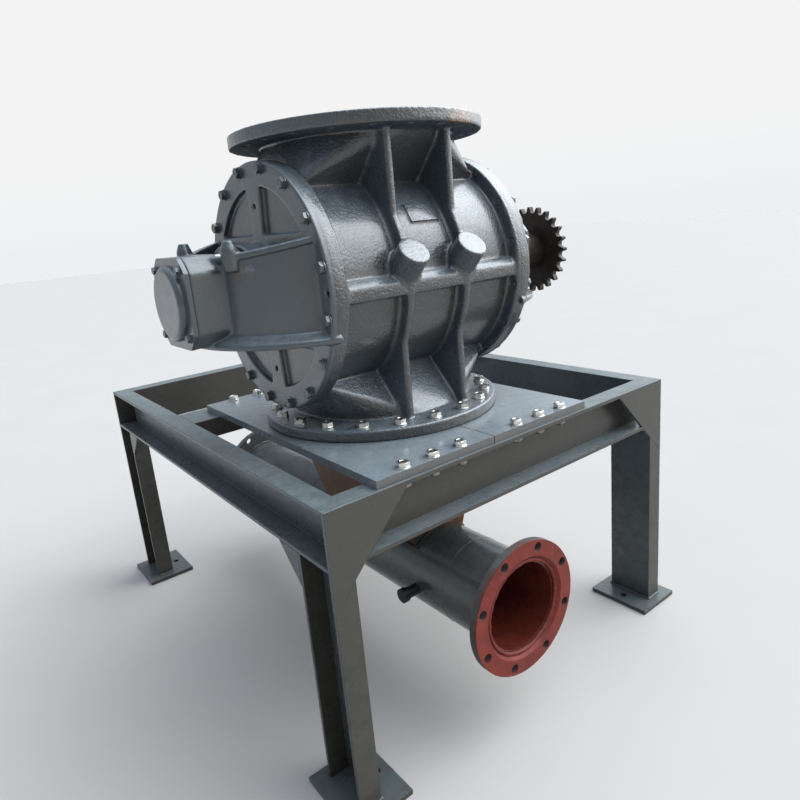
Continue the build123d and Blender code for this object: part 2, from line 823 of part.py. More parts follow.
def packing_set(side):
    # square rings laid one on another round the shaft
    with BuildPart() as rings:
        for k in range(packing_rings):
            with BuildSketch(end_plane(side, packing_start + k * packing_size)):
                Circle(packing_r)
                Circle(shaft_r + running_gap, mode=Mode.SUBTRACT)
            extrude(amount=packing_size - hole_gap)
    return rings.part


def gland_follower(side):
    with BuildPart() as gland:
        with BuildSketch(end_plane(side, packing_end)):
            Circle(packing_r)
            Circle(shaft_r + 1, mode=Mode.SUBTRACT)
        extrude(amount=gland_insert + gland_gap)
        with BuildSketch(end_plane(side, stuffing_box_end + gland_gap)):
            Circle(stuffing_box_r)
            Circle(shaft_r + 1, mode=Mode.SUBTRACT)
            with Locations(*gland_spots):
                Circle(gland_stud / 2 + hole_gap, mode=Mode.SUBTRACT)
        extrude(amount=gland_flange_thickness)
    return gland.part


def gland_stud_set(side):
    with BuildPart() as studs:
        with BuildSketch(end_plane(side, stuffing_box_end - gland_stud * 2)):
            with Locations(*gland_spots):
                Circle(gland_stud / 2)
        extrude(amount=gland_stud_reach + gland_stud * 2)
    return studs.part


def bearing_outer_ring(side):
    track = roller_pitch_r + roller_r + 2 * running_gap
    with BuildPart() as outer:
        with BuildSketch(end_plane(side, bearing_start)):
            Circle(bearing_r - running_gap)
            Circle(track - ring_lip, mode=Mode.SUBTRACT)
        extrude(amount=bearing_width)
        with BuildSketch(end_plane(side, bearing_start + (bearing_width - roller_length) / 2 - hole_gap)):
            Circle(track)
        extrude(amount=roller_length + 2 * hole_gap, mode=Mode.SUBTRACT)
    return outer.part


def bearing_rollers(side):
    with BuildPart() as set_of_rollers:
        with BuildSketch(end_plane(side, bearing_start + (bearing_width - roller_length) / 2)):
            with PolarLocations(roller_pitch_r, rollers):
                Circle(roller_r)
        extrude(amount=roller_length)
    return set_of_rollers.part


def bearing_cap(side, open_r):
    # flanged cap with a domed middle and a spigot that holds the bearing; open_r is 0 for the blind one
    with BuildPart() as cap:
        with BuildSketch(end_plane(side, bearing_block_end)):
            Rectangle(bearing_block_side, bearing_block_side)
            Circle(bearing_block_r, mode=Mode.INTERSECT)
            with Locations(*cap_spots):
                Circle(cap_bolt / 2 + hole_gap, mode=Mode.SUBTRACT)
        extrude(amount=cap_flange_thickness)
        with BuildSketch(end_plane(side, cap_face)):
            Circle(cap_dome_r)
        extrude(amount=cap_dome_height)
        rim = cap.faces().sort_by(Axis.X)[0 if side < 0 else -1].edges()
        fillet(rim, cap_fillet)
        with BuildSketch(end_plane(side, bearing_start + bearing_width)):
            Circle(bearing_r - hole_gap)
            Circle(bearing_pass_r, mode=Mode.SUBTRACT)
        extrude(amount=bearing_block_end - bearing_start - bearing_width)
        if open_r:
            with BuildSketch(end_plane(side, bearing_block_end)):
                Circle(open_r)
            extrude(amount=cap_flange_thickness + cap_dome_height, mode=Mode.SUBTRACT)
            with BuildSketch(end_plane(side, cap_face + cap_dome_height - seal_width)):
                Circle(seal_r)
            extrude(amount=seal_width, mode=Mode.SUBTRACT)
    return cap.part


inner_ring_r = roller_pitch_r - roller_r - running_gap
for side in (-1, 1):
    name = side_name(side)
    save(end_cover(side), f"end_cover_{name}")
    save(cover_gasket(side), f"cover_gasket_{name}")
    save(packing_set(side), f"packing_rings_{name}")
    save(gland_follower(side), f"gland_follower_{name}")
    save(gland_stud_set(side), f"gland_studs_{name}")
    save(hex_nuts(end_plane(side, gland_face), gland_spots, gland_stud), f"gland_nuts_{name}")
    save(bearing_outer_ring(side), f"bearing_outer_ring_{name}")
    inner_ring = ring(side, bearing_start, bearing_width, inner_ring_r, journal_r + running_gap)
    save(inner_ring, f"bearing_inner_ring_{name}")
    save(bearing_rollers(side), f"bearing_rollers_{name}")
    save(bearing_cap(side, 0 if side < 0 else journal_r + 2), f"bearing_cap_{name}")
    cover_reach = cover_thickness + gasket_thickness + end_flange_thickness
    save(hex_bolt(end_plane(side, cover_face), cover_spots, cover_bolt, cover_reach), f"cover_bolts_{name}")
    cap_reach = cap_flange_thickness + 2 * cap_bolt
    save(hex_bolt(end_plane(side, cap_face), cap_spots, cap_bolt, cap_reach), f"cap_bolts_{name}")
seal_start = cap_face + cap_dome_height - seal_width
save(ring(1, seal_start, seal_width, seal_r - hole_gap, drive_end_r + running_gap), "shaft_seal")

# Rotor: vanes on a hub, running in the barrel
rotor_r = bore_r - rotor_gap
rotor_half_length = cover_inner - rotor_end_gap
with BuildPart() as rotor:
    with BuildSketch(valve_cross):
        Circle(hub_r)
        with PolarLocations(0, rotor_vanes, 180 / rotor_vanes):
            with Locations((rotor_r / 2, 0)):
                Rectangle(rotor_r, vane_thickness)
        Circle(rotor_r, mode=Mode.INTERSECT)
        Circle(shaft_r + running_gap, mode=Mode.SUBTRACT)
    extrude(amount=rotor_half_length, both=True)
save(rotor.part, "rotor")

# Stepped shaft with the keyway for the sprocket
shaft_left = bearing_start + bearing_width + 4
key_start = shaft_end - key_length - 10
key_plane = Plane(origin=(valve_x + key_start, valve_y, shaft_z + drive_end_r - key_height / 2))
with BuildPart() as shaft:
    for start, end, radius in (
        (-bearing_start, bearing_start, shaft_r),
        (-shaft_left, -bearing_start, journal_r),
        (bearing_start, cap_face, journal_r),
        (cap_face, shaft_end, drive_end_r),
    ):
        with BuildSketch(valve_cross.offset(start)):
            Circle(radius)
        extrude(amount=end - start)
    with BuildSketch(key_plane):
        with Locations((key_length / 2, 0)):
            SlotOverall(key_length, key_width)
    extrude(amount=key_height, mode=Mode.SUBTRACT)
    with BuildSketch(valve_cross.offset(shaft_end)):
        Circle(end_bolt / 2 + running_gap)
    extrude(amount=-2 * end_bolt, mode=Mode.SUBTRACT)
save(shaft.part, "shaft")

with BuildPart() as drive_key:
    with BuildSketch(key_plane):
        with Locations((key_length / 2, 0)):
            SlotOverall(key_length - hole_gap, key_width - hole_gap)
    extrude(amount=key_height - hole_gap)
save(drive_key.part, "drive_key")

# Sprocket: roller seats cut round the pitch circle, teeth narrowed towards their tips
pitch_r = chain_pitch / (2 * sin(pi / sprocket_teeth))
tip_r = chain_pitch * (0.6 + 1 / tan(pi / sprocket_teeth)) / 2
tooth_rise = tip_r - pitch_r
seat_r = chain_roller_r * 1.01
with BuildPart() as sprocket:
    with BuildSketch(valve_cross.offset(shaft_end - sprocket_width)):
        Circle(tip_r)
        with PolarLocations(pitch_r, sprocket_teeth, 180 / sprocket_teeth):
            Circle(seat_r, mode=Mode.SUBTRACT)
            Polygon(
                (0, -seat_r),
                (2 * tooth_rise, -seat_r - 2 * sprocket_gap_flare),
                (2 * tooth_rise, seat_r + 2 * sprocket_gap_flare),
                (0, seat_r),
                align=None,
                mode=Mode.SUBTRACT,
            )
    extrude(amount=sprocket_width)
    with BuildSketch(valve_cross.offset(sprocket_hub_start)):
        Circle(sprocket_hub_r)
    extrude(amount=sprocket_hub_length)
    with BuildSketch(valve_cross.offset(sprocket_hub_start)):
        Circle(drive_end_r + running_gap)
    extrude(amount=sprocket_hub_length, mode=Mode.SUBTRACT)
    keyway = Plane(origin=(valve_x + sprocket_hub_start, valve_y, shaft_z))
    with BuildSketch(keyway):
        with Locations((sprocket_hub_length / 2, 0)):
            Rectangle(sprocket_hub_length, key_width)
    extrude(amount=drive_end_r + key_height / 2, mode=Mode.SUBTRACT)
save(sprocket.part, "sprocket")

with BuildPart() as shaft_end_plate:
    with BuildSketch(valve_cross.offset(shaft_end)):
        Circle(end_plate_r)
        Circle(end_bolt / 2 + hole_gap, mode=Mode.SUBTRACT)
    extrude(amount=end_plate_thickness)
save(shaft_end_plate.part, "shaft_end_plate")

end_bolt_plane = end_plane(1, shaft_end + end_plate_thickness)
save(hex_bolt(end_bolt_plane, [(0, 0)], end_bolt, end_plate_thickness + 1.5 * end_bolt), "shaft_end_bolt")
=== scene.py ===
import json
import math
import random

import bmesh
import bpy
import numpy as np
from mathutils import Matrix, Vector, noise

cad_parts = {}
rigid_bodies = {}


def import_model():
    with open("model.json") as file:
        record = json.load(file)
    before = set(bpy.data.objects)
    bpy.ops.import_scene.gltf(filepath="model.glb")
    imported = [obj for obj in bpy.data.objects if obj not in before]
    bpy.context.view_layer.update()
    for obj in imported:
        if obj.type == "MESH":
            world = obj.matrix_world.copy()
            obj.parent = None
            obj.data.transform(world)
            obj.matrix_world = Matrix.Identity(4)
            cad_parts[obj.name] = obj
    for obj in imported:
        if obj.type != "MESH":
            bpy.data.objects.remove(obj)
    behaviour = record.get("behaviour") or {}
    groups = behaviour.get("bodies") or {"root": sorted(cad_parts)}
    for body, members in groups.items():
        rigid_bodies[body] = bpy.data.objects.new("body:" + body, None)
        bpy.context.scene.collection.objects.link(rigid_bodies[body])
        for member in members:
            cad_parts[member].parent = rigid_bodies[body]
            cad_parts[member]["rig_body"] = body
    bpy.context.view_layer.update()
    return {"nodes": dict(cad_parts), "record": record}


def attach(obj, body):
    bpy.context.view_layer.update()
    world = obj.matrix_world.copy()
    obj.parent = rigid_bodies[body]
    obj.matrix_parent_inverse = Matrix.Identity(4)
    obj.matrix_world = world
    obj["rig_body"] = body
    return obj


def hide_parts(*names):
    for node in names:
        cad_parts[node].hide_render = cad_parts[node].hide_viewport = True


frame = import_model()
scene = bpy.context.scene
cadNodes = frame["nodes"]
record = frame["record"]
slotOf = {entry["node"]: entry["material_slot"] for entry in record["subparts"]}
mountAt = {mount["name"]: mount["pos_m"] for mount in record["mounts"]}
valve = Vector(record["behaviour"]["joints"][0]["pos_m"])  # middle of the barrel, on the shaft's axis
lineFront = mountAt["pipe_flange_front"][1]  # y of the conveying line's two end faces
lineBack = mountAt["pipe_flange_back"][1]
lineHeight = mountAt["pipe_flange_front"][2]
print("stage: frame loaded", len(cadNodes), "nodes")

# Small tools for meshes and shader nodes


def linkObject(name, mesh):
    made = bpy.data.objects.new(name, mesh)
    scene.collection.objects.link(made)
    return made


def meshFrom(shape, name):
    mesh = bpy.data.meshes.new(name)
    shape.to_mesh(mesh)
    shape.free()
    return mesh


def settle(piece):
    graph = bpy.context.evaluated_depsgraph_get()
    graph.update()
    mesh = bpy.data.meshes.new_from_object(piece.evaluated_get(graph))
    piece.modifiers.clear()
    piece.data = mesh


def turnsOf(count):
    return [2 * math.pi * k / count for k in range(count)]


def bridge(shape, first, second):
    count = len(first)
    for k in range(count):
        after = (k + 1) % count
        shape.faces.new((first[k], first[after], second[after], second[k]))


def put(tree, kind, settings=None, **sockets):
    made = tree.nodes.new(kind)
    for key, value in (settings or {}).items():
        setattr(made, key, value)
    for key, value in sockets.items():
        numbered = key[0] == "n" and key[1:].isdigit()  # n0, n1 and so on pick a socket by its place
        socket = made.inputs[int(key[1:]) if numbered else key]
        if isinstance(value, bpy.types.NodeSocket):
            tree.links.new(value, socket)
        else:
            socket.default_value = value
    return made


def ramp(tree, factor, stops):
    made = put(tree, "ShaderNodeValToRGB", Fac=factor)
    band = made.color_ramp
    while len(band.elements) < len(stops):
        band.elements.new(0.5)
    for element, (place, colour) in zip(band.elements, stops):
        element.position = place
        element.color = (*colour, 1.0)
    return made.outputs["Color"]


def blendColour(tree, factor, first, second, mode="MIX"):
    if not isinstance(second, bpy.types.NodeSocket):
        second = (*second, 1.0)
    settings = {"data_type": "RGBA", "blend_type": mode}
    return put(tree, "ShaderNodeMix", settings, n0=factor, n6=first, n7=second).outputs[2]


def spread(tree, value, low, high, start, end):
    return put(tree, "ShaderNodeMapRange", n0=value, n1=low, n2=high, n3=start, n4=end).outputs[0]


def grain(tree, place, scale, detail=3.0, rough=0.55):
    made = put(tree, "ShaderNodeTexNoise", Vector=place, Scale=scale, Detail=detail, Roughness=rough)
    return made.outputs[0]


def work(tree, operation, *values):
    sockets = {f"n{k}": value for k, value in enumerate(values)}
    return put(tree, "ShaderNodeMath", {"operation": operation}, **sockets).outputs[0]


def vectorWork(tree, operation, *values):
    sockets = {f"n{k}": value for k, value in enumerate(values)}
    return put(tree, "ShaderNodeVectorMath", {"operation": operation}, **sockets).outputs


def newShader(name):
    material = bpy.data.materials.new(name)
    material.use_nodes = True
    tree = material.node_tree
    tree.nodes.clear()
    out = put(tree, "ShaderNodeOutputMaterial")
    shader = put(tree, "ShaderNodeBsdfPrincipled")
    tree.links.new(shader.outputs[0], out.inputs[0])
    place = put(tree, "ShaderNodeTexCoord").outputs["Object"]
    return material, tree, shader, place


def bumps(tree, layers):
    normal = None
    for height, strength, distance in layers:
        made = put(tree, "ShaderNodeBump", Strength=strength, Distance=distance, Height=height)
        if normal:
            tree.links.new(normal, made.inputs["Normal"])
        normal = made.outputs[0]
    return normal


# Paints

paintShared = {
    "streakScale": (26.0, 26.0, 2.2),  # runs, stretched downwards
    "powderScale": 34.0,
    "dustAndSheenColour": (0.33, 0.37, 0.40),
    "fleckScale": 520.0,
    "fleckColour": (0.42, 0.44, 0.44),
    "frontShade": 0.0,  # painted shade: faces that look to the front are turned darker and browner
    "frontShadeColour": (0.05, 0.045, 0.036),
    "lowShade": 0.0,  # painted shade: darker towards the bottom of the stand
    "lowShadeColour": (0.026, 0.022, 0.017),
    "lowShadeTop": 0.66,
    "lowShadeFoot": 0.35,
    "under": 0.0,  # how dull the undersides are
    "underRough": 0.5,
    "underGloss": 0.05,
    "roughScale": 19.0,
    "lumpDepth": 0.004,
    "peelDepth": 0.0018,
    "coat": 0.0,
    "coatRough": 0.3,
    "patches": [],
    "lining": None,
}


def patchOver(tree, place, colour, patch):
    away = vectorWork(tree, "DISTANCE", place, patch["at"])["Value"]
    near = spread(tree, away, patch["reach"] * 0.35, patch["reach"], 0.22, 0.0)
    flake = work(tree, "ADD", grain(tree, place, patch["scale"], 6.0, 0.72), near)
    patchMask = spread(tree, flake, 0.66, 0.70, 0.0, patch["weight"])
    inside = spread(tree, away, patch["reach"] * 0.9, patch["reach"], 1.0, 0.0)
    fine = grain(tree, place, patch["scale"] * 2.6, 4.0)
    tone = ramp(tree, fine, [(0.35, patch["dark"]), (0.65, patch["light"])])
    return blendColour(tree, work(tree, "MULTIPLY", patchMask, inside), colour, tone)


def liningOver(tree, place, colour, lining):
    shifted = vectorWork(tree, "SUBTRACT", place, (valve.x, 0.0, lineHeight))[0]
    across = vectorWork(tree, "MULTIPLY", shifted, (1.0, 0.0, 1.0))[0]
    reach = vectorWork(tree, "LENGTH", across)["Value"]
    fade = lining["fade"]
    mask = spread(tree, reach, lining["radius"] - fade, lining["radius"] + fade, 1.0, 0.0)
    along = put(tree, "ShaderNodeSeparateXYZ", Vector=place).outputs[1]
    if "mouth" in lining:
        front, back = lining["mouth"]
        before = spread(tree, along, front - 0.001, front, 1.0, 0.0)
        behind = spread(tree, along, back, back + 0.001, 0.0, 1.0)
        mask = work(tree, "MULTIPLY", mask, work(tree, "ADD", before, behind))
    for low, high, weight in lining["ends"]:
        haze = spread(tree, along, low, high, weight, 0.0)
        if weight < 1.0:
            cloud = spread(tree, grain(tree, place, 16.0, 5.0, 0.7), 0.42, 0.64, 0.0, 1.0)
            haze = work(tree, "MULTIPLY", haze, cloud)
        mask = work(tree, "MAXIMUM", mask, haze)
    tone = ramp(tree, grain(tree, place, 22.0, 5.0, 0.65), [(0.3, lining["dark"]), (0.7, lining["light"])])
    return blendColour(tree, mask, colour, tone)


def paintMaterial(name, own):
    look = {**paintShared, **own}
    material, tree, shader, place = newShader(name)
    cloud = grain(tree, place, look["cloud"], 5.0, 0.62)
    colour = ramp(tree, cloud, [(0.28, look["dark"]), (0.52, look["base"]), (0.78, look["light"])])
    stretched = put(tree, "ShaderNodeMapping", Vector=place, Scale=look["streakScale"]).outputs[0]
    streak = spread(tree, grain(tree, stretched, 1.0, 2.0, 0.45), 0.50, 0.86, 0.0, look["streak"])
    colour = blendColour(tree, streak, colour, look["stain"])

    # dust and painted sheen on top, flecks all over, painted shade on the front faces and painted shade low
    # down
    normal = put(tree, "ShaderNodeNewGeometry").outputs["Normal"]
    facing = put(tree, "ShaderNodeSeparateXYZ", Vector=normal)
    # dust and a painted sky sheen: upward faces are made lighter and bluer
    upward = spread(tree, facing.outputs[2], 0.25, 0.95, 0.0, 1.0)
    powder = spread(tree, grain(tree, place, look["powderScale"], 6.0, 0.7), 0.35, 0.7, 0.15, 1.0)
    dustAndSheenMask = work(tree, "MULTIPLY", work(tree, "MULTIPLY", upward, powder), look["dustAndSheen"])
    colour = blendColour(tree, dustAndSheenMask, colour, look["dustAndSheenColour"])
    fleck = spread(tree, grain(tree, place, look["fleckScale"], 1.0, 0.5), 0.70, 0.76, 0.0, look["fleck"])
    colour = blendColour(tree, fleck, colour, look["fleckColour"])
    # painted shade: darker, browner faces that look to the front
    fronts = spread(tree, facing.outputs[1], -0.35, -0.95, 0.0, look["frontShade"])
    steep = spread(tree, facing.outputs[2], 0.55, 0.12, 0.0, 1.0)
    colour = blendColour(tree, work(tree, "MULTIPLY", fronts, steep), colour, look["frontShadeColour"])
    # painted shade: darker towards the bottom, broken up by the powder noise
    height = put(tree, "ShaderNodeSeparateXYZ", Vector=place).outputs[2]
    lowShadeMask = spread(tree, height, look["lowShadeTop"], look["lowShadeFoot"], 0.0, look["lowShade"])
    colour = blendColour(tree, work(tree, "MULTIPLY", lowShadeMask, powder), colour, look["lowShadeColour"])

    for patch in look["patches"]:
        colour = patchOver(tree, place, colour, patch)
    if look["lining"]:
        colour = liningOver(tree, place, colour, look["lining"])
    # painted shade: darker in creases, recesses and between parts, from an ambient occlusion node
    settings = {"samples": 4, "only_local": False}
    crease = put(tree, "ShaderNodeAmbientOcclusion", settings, Distance=look["creaseReach"]).outputs["AO"]
    creaseShade = spread(tree, crease, 0.15, 0.85, look["creaseShade"], 0.0)
    colour = blendColour(tree, creaseShade, colour, look["creaseShadeColour"])
    tree.links.new(colour, shader.inputs["Base Color"])

    smooth, dull = look["rough"]
    rough = spread(tree, grain(tree, place, look["roughScale"], 5.0, 0.65), 0.3, 0.72, smooth, dull)
    under = spread(tree, facing.outputs[2], -0.55, -0.95, 0.0, look["under"])
    rough = work(tree, "MULTIPLY_ADD", under, look["underRough"], rough)
    gloss = spread(tree, under, 0.0, 1.0, look["gloss"], look["underGloss"])
    coat = spread(tree, under, 0.0, 1.0, look["coat"], 0.0)
    tree.links.new(rough, shader.inputs["Roughness"])
    tree.links.new(gloss, shader.inputs["Specular IOR Level"])
    tree.links.new(coat, shader.inputs["Coat Weight"])
    shader.inputs["Coat Roughness"].default_value = look["coatRough"]
    layers = [
        (grain(tree, place, look["lumps"], 3.0, 0.5), look["lumpStrength"], look["lumpDepth"]),
        (grain(tree, place, look["peel"], 2.0, 0.5), look["peelStrength"], look["peelDepth"]),
    ]
    tree.links.new(bumps(tree, layers), shader.inputs["Normal"])
    return material


castPaint = paintMaterial(
    "casting_paint",
    {
        "dark": (0.033, 0.045, 0.055),
        "base": (0.048, 0.064, 0.077),
        "light": (0.070, 0.089, 0.104),
        "stain": (0.050, 0.052, 0.050),
        "creaseShadeColour": (0.018, 0.018, 0.017),
        "frontShade": 0.85,
        "frontShadeColour": (0.022, 0.018, 0.014),
        "gloss": 0.55,
        "cloud": 5.0,
        "streak": 0.2,
        "dustAndSheen": 0.34,
        "under": 1.0,
        "fleck": 0.22,
        "creaseShade": 0.6,
        "creaseReach": 0.035,
        "rough": (0.24, 0.36),
        "lumps": 60.0,
        "lumpStrength": 0.5,
        "peel": 180.0,
        "peelStrength": 1.5,
        "coat": 0.9,
        "coatRough": 0.20,
        "patches": [
            {"at": (-0.02, -0.60, 1.386), "reach": 0.11, "scale": 42.0, "weight": 0.85,
             "dark": (0.09, 0.045, 0.02), "light": (0.22, 0.13, 0.07)},  # worn spot on the inlet rim
            {"at": (0.05, -0.34, 1.19), "reach": 0.20, "scale": 24.0, "weight": 0.35,
             "dark": (0.12, 0.12, 0.11), "light": (0.20, 0.20, 0.19)},  # pale wear on the barrel
        ],
    },
)
coverPaint = paintMaterial(
    "cover_paint",
    {
        "dark": (0.038, 0.053, 0.065),
        "base": (0.051, 0.069, 0.083),
        "light": (0.066, 0.086, 0.101),
        "stain": (0.052, 0.053, 0.050),
        "creaseShadeColour": (0.022, 0.023, 0.022),
        "frontShade": 0.6,
        "frontShadeColour": (0.040, 0.038, 0.034),
        "gloss": 0.5,
        "cloud": 4.0,
        "streak": 0.15,
        "dustAndSheen": 0.42,
        "under": 0.7,
        "fleck": 0.14,
        "creaseShade": 0.55,
        "creaseReach": 0.03,
        "rough": (0.26, 0.40),
        "lumps": 60.0,
        "lumpStrength": 0.16,
        "peel": 220.0,
        "peelStrength": 0.45,
        "coat": 0.7,
        "coatRough": 0.18,
        "patches": [
            {"at": (-0.513, -0.412, 1.101), "reach": 0.036, "scale": 46.0, "weight": 0.6,
             "dark": (0.045, 0.026, 0.016), "light": (0.11, 0.055, 0.03)},  # rust below the lug
            {"at": (-0.498, -0.431, 1.110), "reach": 0.022, "scale": 150.0, "weight": 0.4,
             "dark": (0.12, 0.14, 0.15), "light": (0.22, 0.24, 0.25)},  # specks beside it
        ],
    },
)
framePaint = paintMaterial(
    "frame_paint",
    {
        "dark": (0.058, 0.078, 0.086),
        "base": (0.068, 0.090, 0.099),
        "light": (0.080, 0.103, 0.112),
        "stain": (0.074, 0.067, 0.052),
        "creaseShadeColour": (0.028, 0.025, 0.020),
        "frontShade": 0.9,
        "frontShadeColour": (0.050, 0.045, 0.036),
        "lowShade": 0.7,
        "lowShadeColour": (0.026, 0.022, 0.017),
        "gloss": 0.32,
        "cloud": 2.2,
        "streak": 0.05,
        "dustAndSheen": 0.26,
        "dustAndSheenColour": (0.38, 0.395, 0.385),
        "fleck": 0.05,
        "creaseShade": 0.5,
        "creaseReach": 0.04,
        "rough": (0.22, 0.38),
        "lumps": 22.0,
        "lumpStrength": 0.07,
        "peel": 260.0,
        "peelStrength": 0.10,
        "coat": 0.12,
        "coatRough": 0.18,
    },
)
platePaint = paintMaterial(
    "plate_paint",
    {
        "dark": (0.136, 0.161, 0.178),
        "base": (0.150, 0.177, 0.195),
        "light": (0.164, 0.193, 0.212),
        "stain": (0.080, 0.078, 0.068),
        "creaseShadeColour": (0.026, 0.026, 0.024),
        "frontShade": 0.8,
        "frontShadeColour": (0.060, 0.056, 0.048),
        "gloss": 0.7,
        "cloud": 4.6,
        "streak": 0.25,
        "dustAndSheen": 0.22,
        "fleck": 0.12,
        "creaseShade": 0.5,
        "creaseReach": 0.03,
        "rough": (0.24, 0.34),
        "lumps": 26.0,
        "lumpStrength": 0.05,
        "peel": 300.0,
        "peelStrength": 0.10,
        "coat": 0.35,
        "coatRough": 0.12,
    },
)
rustyPaint = paintMaterial(
    "chute_paint",
    {
        "dark": (0.045, 0.019, 0.009),
        "base": (0.082, 0.037, 0.017),
        "light": (0.105, 0.056, 0.030),
        "stain": (0.085, 0.044, 0.022),
        "creaseShadeColour": (0.028, 0.018, 0.012),
        "frontShade": 0.4,
        "frontShadeColour": (0.080, 0.050, 0.030),
        "gloss": 0.15,
        "cloud": 7.0,
        "streak": 0.65,
        "dustAndSheen": 0.05,
        "fleck": 0.10,
        "creaseShade": 0.5,
        "creaseReach": 0.03,
        "rough": (0.38, 0.56),
        "lumps": 40.0,
        "lumpStrength": 0.12,
        "peel": 260.0,
        "peelStrength": 0.16,
        "patches": [
            {"at": (-0.27, -0.48, 0.62), "reach": 0.16, "scale": 26.0, "weight": 0.8,
             "dark": (0.10, 0.042, 0.016), "light": (0.22, 0.10, 0.04)},  # rust high on the chute's left
            {"at": (-0.18, -0.48, 0.40), "reach": 0.18, "scale": 20.0, "weight": 1.0,
             "dark": (0.018, 0.017, 0.016), "light": (0.040, 0.036, 0.031)},  # painted shade below it, low on the chute under the front beam
            {"at": (-0.03, -0.48, 0.40), "reach": 0.10, "scale": 36.0, "weight": 0.8,
             "dark": (0.09, 0.03, 0.014), "light": (0.18, 0.07, 0.035)},  # rust low on its right
        ],
    },
)
pipePaint = paintMaterial(
    "pipe_paint",
    {
        "dark": (0.041, 0.046, 0.046),
        "base": (0.050, 0.056, 0.056),
        "light": (0.062, 0.068, 0.067),
        "stain": (0.060, 0.040, 0.028),
        "creaseShadeColour": (0.020, 0.016, 0.013),
        "frontShade": 0.4,
        "frontShadeColour": (0.050, 0.042, 0.034),
        "gloss": 0.5,
        "cloud": 4.0,
        "streak": 0.06,
        "dustAndSheen": 0.12,
        "fleck": 0.12,
        "creaseShade": 0.45,
        "creaseReach": 0.03,
        "rough": (0.18, 0.32),
        "lumps": 30.0,
        "lumpStrength": 0.10,
        "peel": 320.0,
        "peelStrength": 0.14,
        "coat": 0.25,
        "coatRough": 0.2,
        "lining": {
            "radius": 0.1066,
            "fade": 0.0006,
            "ends": [(-0.745, -0.54, 0.3), (0.49, 0.40, 0.2)],
            "dark": (0.055, 0.011, 0.007),
            "light": (0.115, 0.022, 0.014),
        },
    },
)
lineFlangePaint = paintMaterial(
    "line_flange_paint",
    {
        "dark": (0.044, 0.050, 0.050),
        "base": (0.058, 0.066, 0.066),
        "light": (0.076, 0.084, 0.083),
        "stain": (0.070, 0.046, 0.034),
        "creaseShadeColour": (0.030, 0.014, 0.010),
        "frontShade": 0.2,
        "frontShadeColour": (0.060, 0.052, 0.044),
        "gloss": 0.25,
        "cloud": 12.0,
        "streak": 0.3,
        "dustAndSheen": 0.14,
        "fleck": 0.08,
        "creaseShade": 0.4,
        "creaseReach": 0.02,
        "rough": (0.42, 0.58),
        "lumps": 130.0,
        "lumpStrength": 0.16,
        "peel": 420.0,
        "peelStrength": 0.20,
        "lining": {
            "radius": 0.1240,
            "fade": 0.0006,
            "mouth": (-0.7515, 0.5025),
            "ends": [(-0.7678, -0.7660, 1.0), (0.5188, 0.5170, 1.0), (-0.766, -0.742, 0.6)],
            "dark": (0.100, 0.013, 0.009),
            "light": (0.185, 0.026, 0.017),
        },
    },
)
primerPaint = paintMaterial(
    "red_primer",
    {
        "dark": (0.090, 0.012, 0.008),
        "base": (0.140, 0.020, 0.013),
        "light": (0.190, 0.030, 0.020),
        "stain": (0.080, 0.024, 0.016),
        "creaseShadeColour": (0.045, 0.011, 0.007),
        "gloss": 0.2,
        "cloud": 12.0,
        "streak": 0.3,
        "dustAndSheen": 0.12,
        "fleck": 0.05,
        "creaseShade": 0.4,
        "creaseReach": 0.02,
        "rough": (0.45, 0.62),
        "lumps": 130.0,
        "lumpStrength": 0.16,
        "peel": 520.0,
        "peelStrength": 0.20,
    },
)


# Unpainted finishes

bareShared = {"spotEdge": 0.14, "fineDepth": 0.0008}


def bareMaterial(name, own):
    look = {**bareShared, **own}
    material, tree, shader, place = newShader(name)
    cloud = grain(tree, place, look["cloud"], 4.0, 0.6)
    colour = ramp(tree, cloud, [(0.3, look["dark"]), (0.5, look["base"]), (0.72, look["light"])])
    spotted = grain(tree, place, look["spotScale"], 5.0, 0.65)
    spots = spread(tree, spotted, look["spotFrom"], look["spotFrom"] + look["spotEdge"], 0.0, look["spots"])
    colour = blendColour(tree, spots, colour, look["spotColour"])
    tree.links.new(colour, shader.inputs["Base Color"])
    shader.inputs["Metallic"].default_value = look["metal"]
    smooth, dull = look["rough"]
    rough = spread(tree, grain(tree, place, look["spotScale"] * 0.7, 4.0), 0.3, 0.7, smooth, dull)
    tree.links.new(rough, shader.inputs["Roughness"])
    layers = [(grain(tree, place, look["fine"], 2.0), look["fineStrength"], look["fineDepth"])]
    tree.links.new(bumps(tree, layers), shader.inputs["Normal"])
    return material


zincMetal = bareMaterial(
    "zinc_plate",
    {
        "dark": (0.52, 0.50, 0.44),
        "base": (0.70, 0.69, 0.64),
        "light": (0.82, 0.80, 0.70),
        "cloud": 60.0,
        "spotScale": 140.0,
        "spotFrom": 0.62,
        "spots": 0.5,
        "spotColour": (0.40, 0.33, 0.20),
        "metal": 1.0,
        "rough": (0.18, 0.36),
        "fine": 600.0,
        "fineStrength": 0.12,
    },
)
